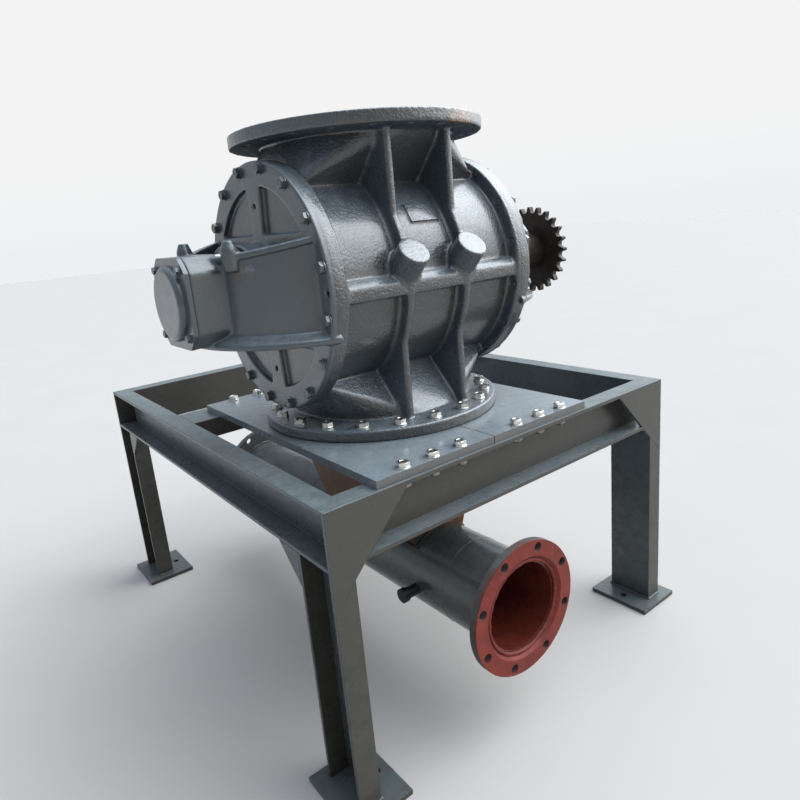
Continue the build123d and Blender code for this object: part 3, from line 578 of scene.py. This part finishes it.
# painted shade: a darker, rougher zinc for the nuts that sit in the shade under the flange, plates and
# beams
shadedZinc = bareMaterial(
    "shaded_zinc",
    {
        "dark": (0.16, 0.15, 0.13),
        "base": (0.24, 0.23, 0.21),
        "light": (0.33, 0.32, 0.29),
        "cloud": 60.0,
        "spotScale": 140.0,
        "spotFrom": 0.58,
        "spots": 0.6,
        "spotColour": (0.14, 0.09, 0.05),
        "metal": 0.8,
        "rough": (0.36, 0.55),
        "fine": 600.0,
        "fineStrength": 0.2,
    },
)
turnedSteel = bareMaterial(
    "machined_steel",
    {
        "dark": (0.30, 0.30, 0.29),
        "base": (0.40, 0.40, 0.39),
        "light": (0.50, 0.50, 0.48),
        "cloud": 20.0,
        "spotScale": 70.0,
        "spotFrom": 0.60,
        "spots": 0.35,
        "spotColour": (0.20, 0.13, 0.08),
        "metal": 1.0,
        "rough": (0.26, 0.44),
        "fine": 700.0,
        "fineStrength": 0.15,
    },
)
sprocketSteel = bareMaterial(
    "sprocket_steel",
    {
        "dark": (0.012, 0.009, 0.008),
        "base": (0.026, 0.018, 0.014),
        "light": (0.048, 0.030, 0.021),
        "cloud": 32.0,
        "spotScale": 85.0,
        "spotFrom": 0.56,
        "spots": 0.6,
        "spotColour": (0.085, 0.036, 0.018),
        "metal": 0.35,
        "rough": (0.34, 0.62),
        "fine": 380.0,
        "fineStrength": 0.3,
    },
)
blackIron = bareMaterial(
    "black_iron",
    {
        "dark": (0.008, 0.008, 0.008),
        "base": (0.014, 0.014, 0.014),
        "light": (0.026, 0.025, 0.024),
        "cloud": 50.0,
        "spotScale": 160.0,
        "spotFrom": 0.66,
        "spots": 0.3,
        "spotColour": (0.06, 0.045, 0.035),
        "metal": 0.4,
        "rough": (0.4, 0.6),
        "fine": 520.0,
        "fineStrength": 0.25,
    },
)
gasketRubber = bareMaterial(
    "gasket_rubber",
    {
        "dark": (0.030, 0.036, 0.040),
        "base": (0.044, 0.052, 0.058),
        "light": (0.060, 0.070, 0.077),
        "cloud": 40.0,
        "spotScale": 220.0,
        "spotFrom": 0.62,
        "spots": 0.5,
        "spotColour": (0.020, 0.020, 0.020),
        "metal": 0.0,
        "rough": (0.6, 0.8),
        "fine": 480.0,
        "fineStrength": 0.3,
    },
)
packingBraid = bareMaterial(
    "packing_braid",
    {
        "dark": (0.22, 0.18, 0.11),
        "base": (0.32, 0.27, 0.17),
        "light": (0.42, 0.37, 0.26),
        "cloud": 90.0,
        "spotScale": 300.0,
        "spotFrom": 0.58,
        "spots": 0.5,
        "spotColour": (0.12, 0.09, 0.05),
        "metal": 0.0,
        "rough": (0.6, 0.85),
        "fine": 260.0,
        "fineStrength": 0.6,
    },
)
print("stage: materials")

# Camera at the photograph's place

cameraFit = {
    "right": (0.786515, -0.611067, -0.089391),
    "down": (-0.221161, -0.143550, -0.964615),
    "forward": (0.576612, 0.778454, -0.248048),
    "eye": (-1.0576, -1.6353, 1.1818),
    "sensor": 36.0,
    "lens": 28.628,
    "shift": (0.00655, -0.02151),
    "near": 0.05,
}
cameraData = bpy.data.cameras.new("photo_camera")
cameraData.sensor_width = cameraFit["sensor"]
cameraData.lens = cameraFit["lens"]
cameraData.shift_x, cameraData.shift_y = cameraFit["shift"]
cameraData.clip_start = cameraFit["near"]
camera = linkObject("photo_camera", cameraData)
turn = Matrix((cameraFit["right"], -Vector(cameraFit["down"]), -Vector(cameraFit["forward"]))).transposed()
camera.matrix_world = Matrix.Translation(cameraFit["eye"]) @ turn.to_4x4()
scene.camera = camera

# Floor, background and light

floorLook = {
    "size": 30.0,
    "drop": 0.0005,  # just below the foot plates
    "cloud": 2.0,
    "dark": (0.415, 0.395, 0.375),
    "light": (0.425, 0.405, 0.385),
    "rough": 0.85,
    "gloss": 0.1,
}
floorShape = bmesh.new()
bmesh.ops.create_grid(floorShape, x_segments=2, y_segments=2, size=floorLook["size"])
floor = linkObject("floor", meshFrom(floorShape, "floor"))
floor.location.z = -floorLook["drop"]
floorPaint, floorTree, floorShader, floorPlace = newShader("floor_paint")
floorCloud = grain(floorTree, floorPlace, floorLook["cloud"])
floorTone = ramp(floorTree, floorCloud, [(0.3, floorLook["dark"]), (0.7, floorLook["light"])])
floorTree.links.new(floorTone, floorShader.inputs["Base Color"])
floorShader.inputs["Roughness"].default_value = floorLook["rough"]
floorShader.inputs["Specular IOR Level"].default_value = floorLook["gloss"]
floor.data.materials.append(floorPaint)

skyLook = {
    "lowest": -0.2,
    "dome": [
        (0.0, (0.20, 0.17, 0.13)),
        (0.17, (0.58, 0.59, 0.58)),
        (0.45, (0.38, 0.43, 0.49)),
        (1.0, (0.46, 0.56, 0.70)),
    ],
    "glowFrom": (0.630, -0.294, 0.719),
    "glowReach": (0.30, 0.98),
    "glowFall": 2.2,
    "glowColour": (5.0, 5.25, 5.45),
    "backdrop": [(0.0, (0.85, 0.87, 0.89)), (0.10, (0.90, 0.90, 0.90))],  # meets the floor's far end
}
world = bpy.data.worlds.new("studio")
scene.world = world
world.use_nodes = True
sky = world.node_tree
sky.nodes.clear()
skyOut = put(sky, "ShaderNodeOutputWorld")
direction = put(sky, "ShaderNodeTexCoord").outputs["Generated"]
height = put(sky, "ShaderNodeSeparateXYZ", Vector=direction).outputs[2]
dome = ramp(sky, spread(sky, height, skyLook["lowest"], 1.0, 0.0, 1.0), skyLook["dome"])
towards = vectorWork(sky, "DOT_PRODUCT", direction, skyLook["glowFrom"])["Value"]
glow = work(sky, "POWER", spread(sky, towards, *skyLook["glowReach"], 0.0, 1.0), skyLook["glowFall"])
dome = blendColour(sky, glow, dome, skyLook["glowColour"], "ADD")
light = put(sky, "ShaderNodeBackground", Color=dome, Strength=1.0)
backdropTone = ramp(sky, height, skyLook["backdrop"])
backdrop = put(sky, "ShaderNodeBackground", Color=backdropTone, Strength=1.0)
seen = put(sky, "ShaderNodeLightPath").outputs["Is Camera Ray"]
mixed = put(sky, "ShaderNodeMixShader", n0=seen, n1=light.outputs[0], n2=backdrop.outputs[0])
sky.links.new(mixed.outputs[0], skyOut.inputs[0])

keyLook = {"from": skyLook["glowFrom"], "power": 0.3, "spread": 34.0, "colour": (1.0, 0.99, 0.97)}
keyData = bpy.data.lights.new("key_light", "SUN")
keyData.energy = keyLook["power"]
keyData.angle = math.radians(keyLook["spread"])
keyData.color = keyLook["colour"]
keyLight = linkObject("key_light", keyData)
keyLight.rotation_euler = (-Vector(keyLook["from"])).to_track_quat("-Z", "Y").to_euler()
scene.view_settings.view_transform = "Standard"
print("stage: camera and light")

# Looks of the CAD nodes that stay

slotFinish = {
    "casting_paint": castPaint,
    "frame_paint": framePaint,
    "red_primer": primerPaint,
    "zinc_plate": zincMetal,
    "machined_steel": turnedSteel,
    "sprocket_steel": sprocketSteel,
    "black_iron": blackIron,
    "rubber": gasketRubber,
    "packing_braid": packingBraid,
}
for name, piece in cadNodes.items():
    piece.data.materials.clear()
    piece.data.materials.append(slotFinish[slotOf[name]])

# Copies of CAD nodes with rounded edges, which stand in for them in the picture

edgeLook = {"merge": 2e-6, "flat": 0.6, "segments": 2, "bevelFrom": 40, "sharpFrom": 32}


def cleanCopy(name):
    shape = bmesh.new()
    shape.from_mesh(cadNodes[name].data)
    bmesh.ops.remove_doubles(shape, verts=shape.verts, dist=edgeLook["merge"])
    return shape


def smoothByAngle(piece, degrees):
    mesh = piece.data
    mesh.shade_smooth()
    mesh.set_sharp_from_angle(angle=math.radians(degrees))


def standFor(piece, name):
    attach(piece, cadNodes[name]["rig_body"])
    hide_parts(name)


def dress(name, material, edge):
    shape = cleanCopy(name)
    flat = math.radians(edgeLook["flat"])
    bmesh.ops.dissolve_limit(shape, angle_limit=flat, verts=shape.verts, edges=shape.edges)
    piece = linkObject(name + "_dressed", meshFrom(shape, name + "_dressed"))
    bevel = piece.modifiers.new("edges", "BEVEL")
    bevel.width = edge
    bevel.segments = edgeLook["segments"]
    bevel.limit_method = "ANGLE"
    bevel.angle_limit = math.radians(edgeLook["bevelFrom"])
    settle(piece)
    smoothByAngle(piece, edgeLook["sharpFrom"])
    level = piece.modifiers.new("level", "WEIGHTED_NORMAL")  # keeps the large flat faces even
    level.keep_sharp = True
    settle(piece)
    piece.data.materials.clear()
    piece.data.materials.append(material)
    standFor(piece, name)


dressed = [
    (framePaint, 0.0016, ["left_beam", "right_beam", "front_beam", "back_beam", "cross_beam"]),
    (framePaint, 0.0016, ["leg_front_left", "leg_front_right", "leg_back_left", "leg_back_right"]),
    (framePaint, 0.0012, ["foot_plates", "corner_gussets", "side_gussets"]),
    (platePaint, 0.0012, ["support_plate_left", "support_plate_right"]),
    (rustyPaint, 0.0010, ["drop_chute"]),
    (pipePaint, 0.0008, ["conveying_pipe", "pipe_spool_front", "pipe_spool_back"]),
    (lineFlangePaint, 0.0010, ["pipe_flange_front", "pipe_flange_back"]),
    (blackIron, 0.0012, ["drain_plug"]),
    (sprocketSteel, 0.0011, ["sprocket"]),
    (turnedSteel, 0.0008, ["shaft"]),
    (turnedSteel, 0.0012, ["shaft_end_plate"]),
    (zincMetal, 0.0008, ["shaft_end_bolt"]),
]
for material, edge, names in dressed:
    for name in names:
        dress(name, material, edge)
print("stage: stand, pipe and drive dressed")

# Weld beads

beadLook = {
    "sides": 8,
    "least": 0.90,
    "ripple": 0.18,
    "wobble": 0.30,
    "wobbleScale": 110.0,
    "drift": 0.25,
    "driftScale": 60.0,
    "seed": 1,
}
noise.seed_set(beadLook["seed"])  # the same drift each run


def evenly(path, step):
    points = []
    for first, second in zip(path, path[1:]):
        count = max(1, round((second - first).length / step))
        points += [first.lerp(second, k / count) for k in range(count)]
    return points + [path[-1]]


def beadInto(shape, path, radius, step):
    points = evenly([Vector(p) for p in path], step)
    side = None
    rings = []
    for k, spot in enumerate(points):
        ahead = (points[min(k + 1, len(points) - 1)] - points[max(k - 1, 0)]).normalized()
        side = ahead.orthogonal() if side is None else side - ahead * side.dot(ahead)
        side.normalize()
        other = ahead.cross(side)
        wobble = beadLook["wobble"] * noise.noise(spot * beadLook["wobbleScale"])
        size = radius * (beadLook["least"] + beadLook["ripple"] * (k % 2) + wobble)
        centre = spot + beadLook["drift"] * radius * noise.noise_vector(spot * beadLook["driftScale"])
        ways = [side * math.cos(a) + other * math.sin(a) for a in turnsOf(beadLook["sides"])]
        rings.append([shape.verts.new(centre + way * size) for way in ways])
    for first, second in zip(rings, rings[1:]):
        bridge(shape, first, second)
    shape.faces.new(list(reversed(rings[0])))
    shape.faces.new(rings[-1])


def welds(name, material, look):
    shape = bmesh.new()
    for path in look["paths"]:
        beadInto(shape, path, look["radius"], look["step"])
    bmesh.ops.recalc_face_normals(shape, faces=shape.faces)
    piece = linkObject(name, meshFrom(shape, name))
    piece.data.shade_smooth()
    piece.data.materials.append(material)
    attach(piece, cadNodes["left_beam"]["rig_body"])


# Welds of the stand: round the feet, at the legs' heads and along the side gussets

legLook = {"tip": 0.553, "web": 0.5015, "outer": 0.7055, "inner": 0.5785, "footTop": 0.0125}
headLook = {"y": (0.695, 0.580), "z": 0.5575}
gussetLook = {"x": 0.5455, "legEdge": (0.556, 0.487), "beamEdge": (0.5745, 0.507), "beamUnder": 0.5580}
footOutline = [("tip", "outer"), ("web", "outer"), ("web", "inner"), ("tip", "inner")]
footPaths = []
headPaths = []
legSidePaths = []
beamSidePaths = []
for sx, sy in [(-1, -1), (-1, 1), (1, -1), (1, 1)]:
    footPaths.append([(sx * legLook[x], sy * legLook[y], legLook["footTop"]) for x, y in footOutline])
    headPaths.append([(sx * legLook["web"], sy * y, headLook["z"]) for y in headLook["y"]])
    gussetX = sx * gussetLook["x"]
    legSidePaths.append([(gussetX, sy * legLook["inner"], z) for z in gussetLook["legEdge"]])
    beamSidePaths.append([(gussetX, sy * y, gussetLook["beamUnder"]) for y in gussetLook["beamEdge"]])
sidePaths = legSidePaths + beamSidePaths
welds("foot_welds", framePaint, {"paths": footPaths, "radius": 0.0038, "step": 0.003})
welds("leg_head_welds", framePaint, {"paths": headPaths, "radius": 0.0030, "step": 0.003})
welds("side_gusset_welds", framePaint, {"paths": sidePaths, "radius": 0.0026, "step": 0.0026})

# Welds of the conveying line: pipe seams, flanges outside and in the mouths, and the chute's saddle

lineLook = {
    "steps": 72,
    "seams": (-0.605, 0.043),
    "seamRadius": 0.1088,
    "flangeIn": 0.0215,  # from the line's end face to the bead behind the flange
    "flangeRadius": 0.1112,
    "mouthIn": 0.0095,
    "mouthRadius": 0.1110,
}
saddleLook = {"half": 0.0800, "front": -0.4865, "back": -0.0755, "pipeRadius": 0.1105, "steps": 10}


def pipeRing(radius, y):
    turns = turnsOf(lineLook["steps"]) + [2 * math.pi]
    return [(valve.x + radius * math.cos(a), y, lineHeight + radius * math.sin(a)) for a in turns]


def endRings(radius, inward):
    return [pipeRing(radius, lineFront + inward), pipeRing(radius, lineBack - inward)]


def saddlePath(look):
    across = [look["half"] * (k / look["steps"] - 1) for k in range(2 * look["steps"] + 1)]
    ridge = [(x, lineHeight + math.sqrt(look["pipeRadius"] ** 2 - x * x)) for x in across]
    front = [(valve.x + x, look["front"], z) for x, z in ridge]
    back = [(valve.x + x, look["back"], z) for x, z in reversed(ridge)]
    return front + back + front[:1]


seamPaths = [pipeRing(lineLook["seamRadius"], y) for y in lineLook["seams"]]
flangePaths = endRings(lineLook["flangeRadius"], lineLook["flangeIn"])
mouthPaths = endRings(lineLook["mouthRadius"], lineLook["mouthIn"])
saddlePaths = [saddlePath(saddleLook)]
welds("pipe_seam_welds", pipePaint, {"paths": seamPaths, "radius": 0.0015, "step": 0.0026})
welds("line_flange_welds", pipePaint, {"paths": flangePaths, "radius": 0.0040, "step": 0.003})
welds("line_mouth_welds", primerPaint, {"paths": mouthPaths, "radius": 0.0048, "step": 0.0036})
welds("saddle_weld", rustyPaint, {"paths": saddlePaths, "radius": 0.0046, "step": 0.0032})
print("stage: welds")

# Castings: voxel copies, smoothed where the sand mould rounds them and left firmer on the turned flanges


def castCopy(name, material, look):
    shape = cleanCopy(name)
    piece = linkObject(name + "_cast", meshFrom(shape, name + "_cast"))
    remesh = piece.modifiers.new("cast", "REMESH")
    remesh.mode = "VOXEL"
    remesh.voxel_size = look["voxel"]
    settle(piece)
    mesh = piece.data
    spots = np.empty(len(mesh.vertices) * 3)
    mesh.vertices.foreach_get("co", spots)
    spots = spots.reshape(-1, 3) - np.array(valve)
    if "shape" in look:
        spots = look["shape"](spots)
        mesh.vertices.foreach_set("co", (spots + np.array(valve)).ravel())
    weights = look["soft"](spots)
    group = piece.vertex_groups.new(name="soft")
    levels = 10  # weights go into the group in ten steps
    for level in range(1, levels + 1):
        chosen = np.nonzero(np.round(weights * levels) == level)[0].tolist()
        if chosen:
            group.add(chosen, level / levels, "REPLACE")
    firm = piece.modifiers.new("firm", "SMOOTH")
    firm.factor = 0.5
    firm.iterations = look["firmSteps"]
    soft = piece.modifiers.new("soft", "SMOOTH")
    soft.factor = 0.5
    soft.iterations = look["softSteps"]
    soft.vertex_group = "soft"
    settle(piece)
    piece.vertex_groups.clear()
    piece.data.shade_smooth()
    piece.data.materials.clear()
    piece.data.materials.append(material)
    standFor(piece, name)


def ease(values, low, high):
    part = np.clip((values - low) / (high - low), 0.0, 1.0)
    return part * part * (3.0 - 2.0 * part)


# where the housing stays firm, measured from the valve's middle
housingZones = {
    "endFlange": (0.252, 0.258),
    "roundFlange": (0.322, 0.328),
    "padFoot": (0.10, 0.12),
    "padHead": (0.20, 0.22),
    "padSide": (0.05, 0.07),
    "padFirm": 0.85,
    "bossFace": (0.244, 0.251),
    "bossFoot": (0.02, 0.04),
    "bossHead": (0.11, 0.13),
    "bossFirm": 0.9,
}


def housingSoft(spots):
    zones = housingZones
    across = np.abs(spots[:, 0])
    height = spots[:, 2]
    barrel = (1.0 - ease(across, *zones["endFlange"])) * (1.0 - ease(np.abs(height), *zones["roundFlange"]))
    pad = ease(height, *zones["padFoot"]) * (1.0 - ease(height, *zones["padHead"]))
    pad = pad * (1.0 - ease(across, *zones["padSide"]))
    slant = (height - spots[:, 1]) / math.sqrt(2.0)
    boss = ease(slant, *zones["bossFace"]) * (1.0 - ease(height, *zones["bossHead"]))
    boss = boss * ease(height, *zones["bossFoot"])
    return barrel * (1.0 - zones["padFirm"] * pad) * (1.0 - zones["bossFirm"] * boss)


# the covers' face, waist and bearing block, measured along the shaft
coverZones = {
    "face": (0.283, 0.300),
    "faceSoft": 0.2,
    "waist": (0.395, 0.430),
    "drumSoft": 0.45,
    "block": (0.488, 0.498),
}


def coverSoft(spots):
    zones = coverZones
    reach = np.abs(spots[:, 0])
    face = ease(reach, *zones["face"])
    drum = zones["drumSoft"] + (1.0 - zones["drumSoft"]) * ease(reach, *zones["waist"])
    return face * drum * (1.0 - ease(reach, *zones["block"])) + zones["faceSoft"] * (1.0 - face)


lugLook = {"x": 0.4227, "y": 0.126, "shelf": 0.098, "top": 0.1195, "reach": 0.024, "taper": 0.36}


def taperLugs(spots):
    side = np.sign(spots[:, 0])
    for way in (-1.0, 1.0):
        across = np.stack([spots[:, 0] - side * lugLook["x"], spots[:, 1] - way * lugLook["y"]], axis=1)
        near = np.hypot(across[:, 0], across[:, 1]) < lugLook["reach"]
        rise = ease(spots[:, 2], lugLook["shelf"], lugLook["top"]) * near * lugLook["taper"]
        spots[:, 0] -= across[:, 0] * rise
        spots[:, 1] -= across[:, 1] * rise
    return spots


padLook = {
    "x": 0.012,
    "size": (0.077, 0.047),
    "top": 0.2545,
    "bottom": 0.2440,
    "draft": 0.0008,
    "edge": 0.0011,
    "segments": 3,
    "angle": 34.0,
    "sharpFrom": 30,
}


def crispPad(look):
    shape = bmesh.new()
    bmesh.ops.create_cube(shape, size=1.0)
    wide, high = look["size"]
    for vert in shape.verts:
        draft = look["draft"] if vert.co.z < 0 else 0.0
        level = look["top"] if vert.co.z > 0 else look["bottom"]
        vert.co = (vert.co.x * (wide + 2 * draft), vert.co.y * (high + 2 * draft), level)
    rounding = {"offset": look["edge"], "segments": look["segments"], "profile": 0.5, "affect": "EDGES"}
    bmesh.ops.bevel(shape, geom=shape.edges[:], **rounding)
    lean = math.radians(look["angle"])
    outward = Vector((0.0, -math.cos(lean), math.sin(lean)))
    upward = Vector((0.0, math.sin(lean), math.cos(lean)))
    turned = Matrix((Vector((1.0, 0.0, 0.0)), upward, outward)).transposed().to_4x4()
    shape.transform(Matrix.Translation(valve + Vector((look["x"], 0.0, 0.0))) @ turned)
    piece = linkObject("blank_pad_face", meshFrom(shape, "blank_pad_face"))
    smoothByAngle(piece, look["sharpFrom"])
    piece.data.materials.append(castPaint)
    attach(piece, cadNodes["housing"]["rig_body"])


# paint that fills the joint between cover and housing: how far along the shaft, and how far below the rim
jointLook = {
    "radius": 0.2821,
    "profile": [(0.256, 0.0014), (0.261, 0.0), (0.282, 0.0), (0.288, 0.0014), (0.272, 0.008)],
    "count": 180,
    "sharpFrom": 40,
}


def jointBand(name, way, look):
    shape = bmesh.new()
    rings = []
    for across, drop in look["profile"]:
        size = look["radius"] - drop
        ring = [(way * across, size * math.cos(a), size * math.sin(a)) for a in turnsOf(look["count"])]
        rings.append([shape.verts.new(valve + Vector(p)) for p in ring])
    for first, second in zip(rings, rings[1:] + rings[:1]):
        bridge(shape, first, second)
    bmesh.ops.recalc_face_normals(shape, faces=shape.faces)
    piece = linkObject(name, meshFrom(shape, name))
    smoothByAngle(piece, look["sharpFrom"])
    piece.data.materials.append(castPaint)
    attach(piece, cadNodes["housing"]["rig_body"])


housingCast = {"voxel": 0.0030, "firmSteps": 3, "softSteps": 14, "soft": housingSoft}
coverCast = {"voxel": 0.0026, "firmSteps": 3, "softSteps": 15, "soft": coverSoft, "shape": taperLugs}
capEdge = 0.0015
sideWays = {"left": -1, "right": 1}
castCopy("housing", castPaint, housingCast)
crispPad(padLook)
for side, way in sideWays.items():
    castCopy("end_cover_" + side, coverPaint, coverCast)
    dress("bearing_cap_" + side, coverPaint, capEdge)
    jointBand("joint_paint_" + side, way, jointLook)
print("stage: castings")

# Bolts and nuts

hexLook = {
    "flats": 1.5,  # this and the next three are shares of the thread's diameter
    "head": 0.64,
    "nut": 0.8,
    "dishDepth": 0.05,
    "inner": 0.47,  # share of the width across flats
    "rim": 0.98,  # this and the dish are shares of inner
    "dish": (0.66, 0.58),
    "chamfer": 30,  # degrees
    "sides": 24,
}
washerLook = {"radius": 0.95, "thick": 0.0025, "lip": 0.0004, "sides": 28}
threadLook = {"pitch": 0.0018, "depth": 0.0008, "point": 0.0012, "tip": 0.0016, "sides": 16, "sink": 0.0005}
fastenerSharp = 30


def circlePoints(radius, height, count=hexLook["sides"]):
    return [(radius * math.cos(a), radius * math.sin(a), height) for a in turnsOf(count)]


def hexPoints(flats, chamferR, height):
    points = []
    slope = math.tan(math.radians(hexLook["chamfer"]))
    for angle in turnsOf(hexLook["sides"]):
        folded = (angle + math.pi / 6) % (math.pi / 3) - math.pi / 6
        radius = flats / 2 / math.cos(folded)
        drop = max(0.0, radius - chamferR) * slope
        points.append((radius * math.cos(angle), radius * math.sin(angle), height - drop))
    return points


def stack(shape, base, rings):
    made = [[shape.verts.new(base @ Vector(p)) for p in points] for points in rings]
    for low, high in zip(made, made[1:]):
        bridge(shape, low, high)
    shape.faces.new(list(reversed(made[0])))
    shape.faces.new(made[-1])


def washerInto(shape, base, size):
    radius = washerLook["radius"] * size
    thick, lip, sides = washerLook["thick"], washerLook["lip"], washerLook["sides"]
    rings = [
        circlePoints(radius, 0.0, sides),
        circlePoints(radius, thick - lip, sides),
        circlePoints(radius - lip, thick, sides),
    ]
    stack(shape, base, rings)


def headInto(shape, base, size):
    flats = hexLook["flats"] * size
    inner = hexLook["inner"] * flats
    low = washerLook["thick"]
    high = low + hexLook["head"] * size
    dishTop, dishFloor = hexLook["dish"]
    rings = [
        hexPoints(flats, flats, low),
        hexPoints(flats, inner, high),
        circlePoints(inner * hexLook["rim"], high),
        circlePoints(inner * dishTop, high),
        circlePoints(inner * dishFloor, high - hexLook["dishDepth"] * size),
    ]
    stack(shape, base, rings)


def nutInto(shape, base, size):
    flats = hexLook["flats"] * size
    inner = hexLook["inner"] * flats
    high = hexLook["nut"] * size
    upper = hexPoints(flats, inner, high)
    lower = [(x, y, high - z) for x, y, z in upper]
    rim = inner * hexLook["rim"]
    stack(shape, base, [circlePoints(rim, 0.0), lower, upper, circlePoints(rim, high)])


def threadInto(shape, base, size, low, high):
    pitch, sides = threadLook["pitch"], threadLook["sides"]
    rings = []
    level = low
    while level < high - pitch:
        rings.append(circlePoints(size / 2, level, sides))
        rings.append(circlePoints(size / 2 - threadLook["depth"], level + pitch / 2, sides))
        level += pitch
    rings.append(circlePoints(size / 2, high - threadLook["point"], sides))
    rings.append(circlePoints(size / 2 - threadLook["tip"], high, sides))
    stack(shape, base, rings)


def shankInto(shape, base, size, length):
    point, sides = threadLook["point"], threadLook["sides"]
    rings = [
        circlePoints(size / 2 - point, -length, sides),
        circlePoints(size / 2, point - length, sides),
        circlePoints(size / 2, -threadLook["sink"], sides),
    ]
    stack(shape, base, rings)


def fasteners(name, material, look):
    shape = bmesh.new()
    chance = random.Random(look["seed"])
    size = look["size"]
    for spot in look["spots"]:
        base = Matrix.Translation(spot) @ look["turn"].to_4x4()
        spun = base @ Matrix.Rotation(chance.uniform(0, math.pi / 3), 4, "Z")
        if look["kind"] == "bolt":
            washerInto(shape, base, size)
            headInto(shape, spun, size)
        else:
            nutInto(shape, spun, size)
        if "shank" in look:
            shankInto(shape, base, size, look["shank"])
        if "thread" in look:
            threadInto(shape, base, size, *look["thread"])
    bmesh.ops.recalc_face_normals(shape, faces=shape.faces)
    piece = linkObject(name + "_dressed", meshFrom(shape, name + "_dressed"))
    smoothByAngle(piece, fastenerSharp)
    piece.data.materials.append(material)
    standFor(piece, name)


def around(radius, count, start):
    turns = [math.radians(start) + a for a in turnsOf(count)]
    return [(radius * math.cos(a), radius * math.sin(a)) for a in turns]


# Bolts through the outlet flange and the support plates, heads up and nuts below

plateLook = {
    "size": 0.016,
    "thread": (0.0120, 0.0168),
    "flangeTop": 0.731,
    "plateTop": 0.703,
    "plateUnder": 0.685,
    "frontBeamUnder": 0.676,
    "crossBeamUnder": 0.6795,
    "circle": (0.276, 20, 9.0),
    "columns": (0.088, 0.166, 0.244),
    "frontRow": -0.68125,
    "backRow": 0.135,
}
flangeRing = [(valve.x + x, valve.y + y) for x, y in around(*plateLook["circle"])]
columns = [valve.x + s * x for s in (-1, 1) for x in plateLook["columns"]]
frontBolts = [(x, plateLook["frontRow"]) for x in columns]
backBolts = [(x, plateLook["backRow"]) for x in columns]
underBeams = [(x, y, plateLook["frontBeamUnder"]) for x, y in frontBolts]
underBeams += [(x, y, plateLook["crossBeamUnder"]) for x, y in backBolts]
headUp = {"kind": "bolt", "size": plateLook["size"], "turn": Matrix.Identity(3)}
nutDown = {
    "kind": "nut",
    "size": plateLook["size"],
    "turn": Matrix.Rotation(math.pi, 3, "X"),
    "thread": plateLook["thread"],
}
flangeTops = [(x, y, plateLook["flangeTop"]) for x, y in flangeRing]
flangeUnders = [(x, y, plateLook["plateUnder"]) for x, y in flangeRing]
plateTops = [(x, y, plateLook["plateTop"]) for x, y in frontBolts + backBolts]
fasteners("outlet_flange_bolts", zincMetal, {**headUp, "spots": flangeTops, "seed": 3})
fasteners("outlet_flange_nuts", shadedZinc, {**nutDown, "spots": flangeUnders, "seed": 4})
fasteners("support_plate_bolts", zincMetal, {**headUp, "spots": plateTops, "seed": 5})
fasteners("support_plate_nuts", shadedZinc, {**nutDown, "spots": underBeams, "seed": 6})

# Painted bolts of the end covers and the bearing caps

coverBolts = {"kind": "bolt", "size": 0.014, "shank": 0.044}
coverRing = {"face": 0.294, "circle": (0.268, 16, 11.25), "seed": 7}
capBolts = {"kind": "bolt", "size": 0.010}
capRing = {"face": 0.510, "circle": (0.098, 4, 45.0), "seed": 11}


def sideBolts(name, way, bolt, ring):
    outward = Matrix(((0, 0, way), (way, 0, 0), (0, 1, 0)))
    face = valve.x + way * ring["face"]
    spots = [(face, valve.y + y, valve.z + z) for y, z in around(*ring["circle"])]
    fasteners(name, coverPaint, {**bolt, "turn": outward, "spots": spots, "seed": ring["seed"] + way})


for side, way in sideWays.items():
    sideBolts("cover_bolts_" + side, way, coverBolts, coverRing)
    sideBolts("cap_bolts_" + side, way, capBolts, capRing)
print("stage: fasteners")
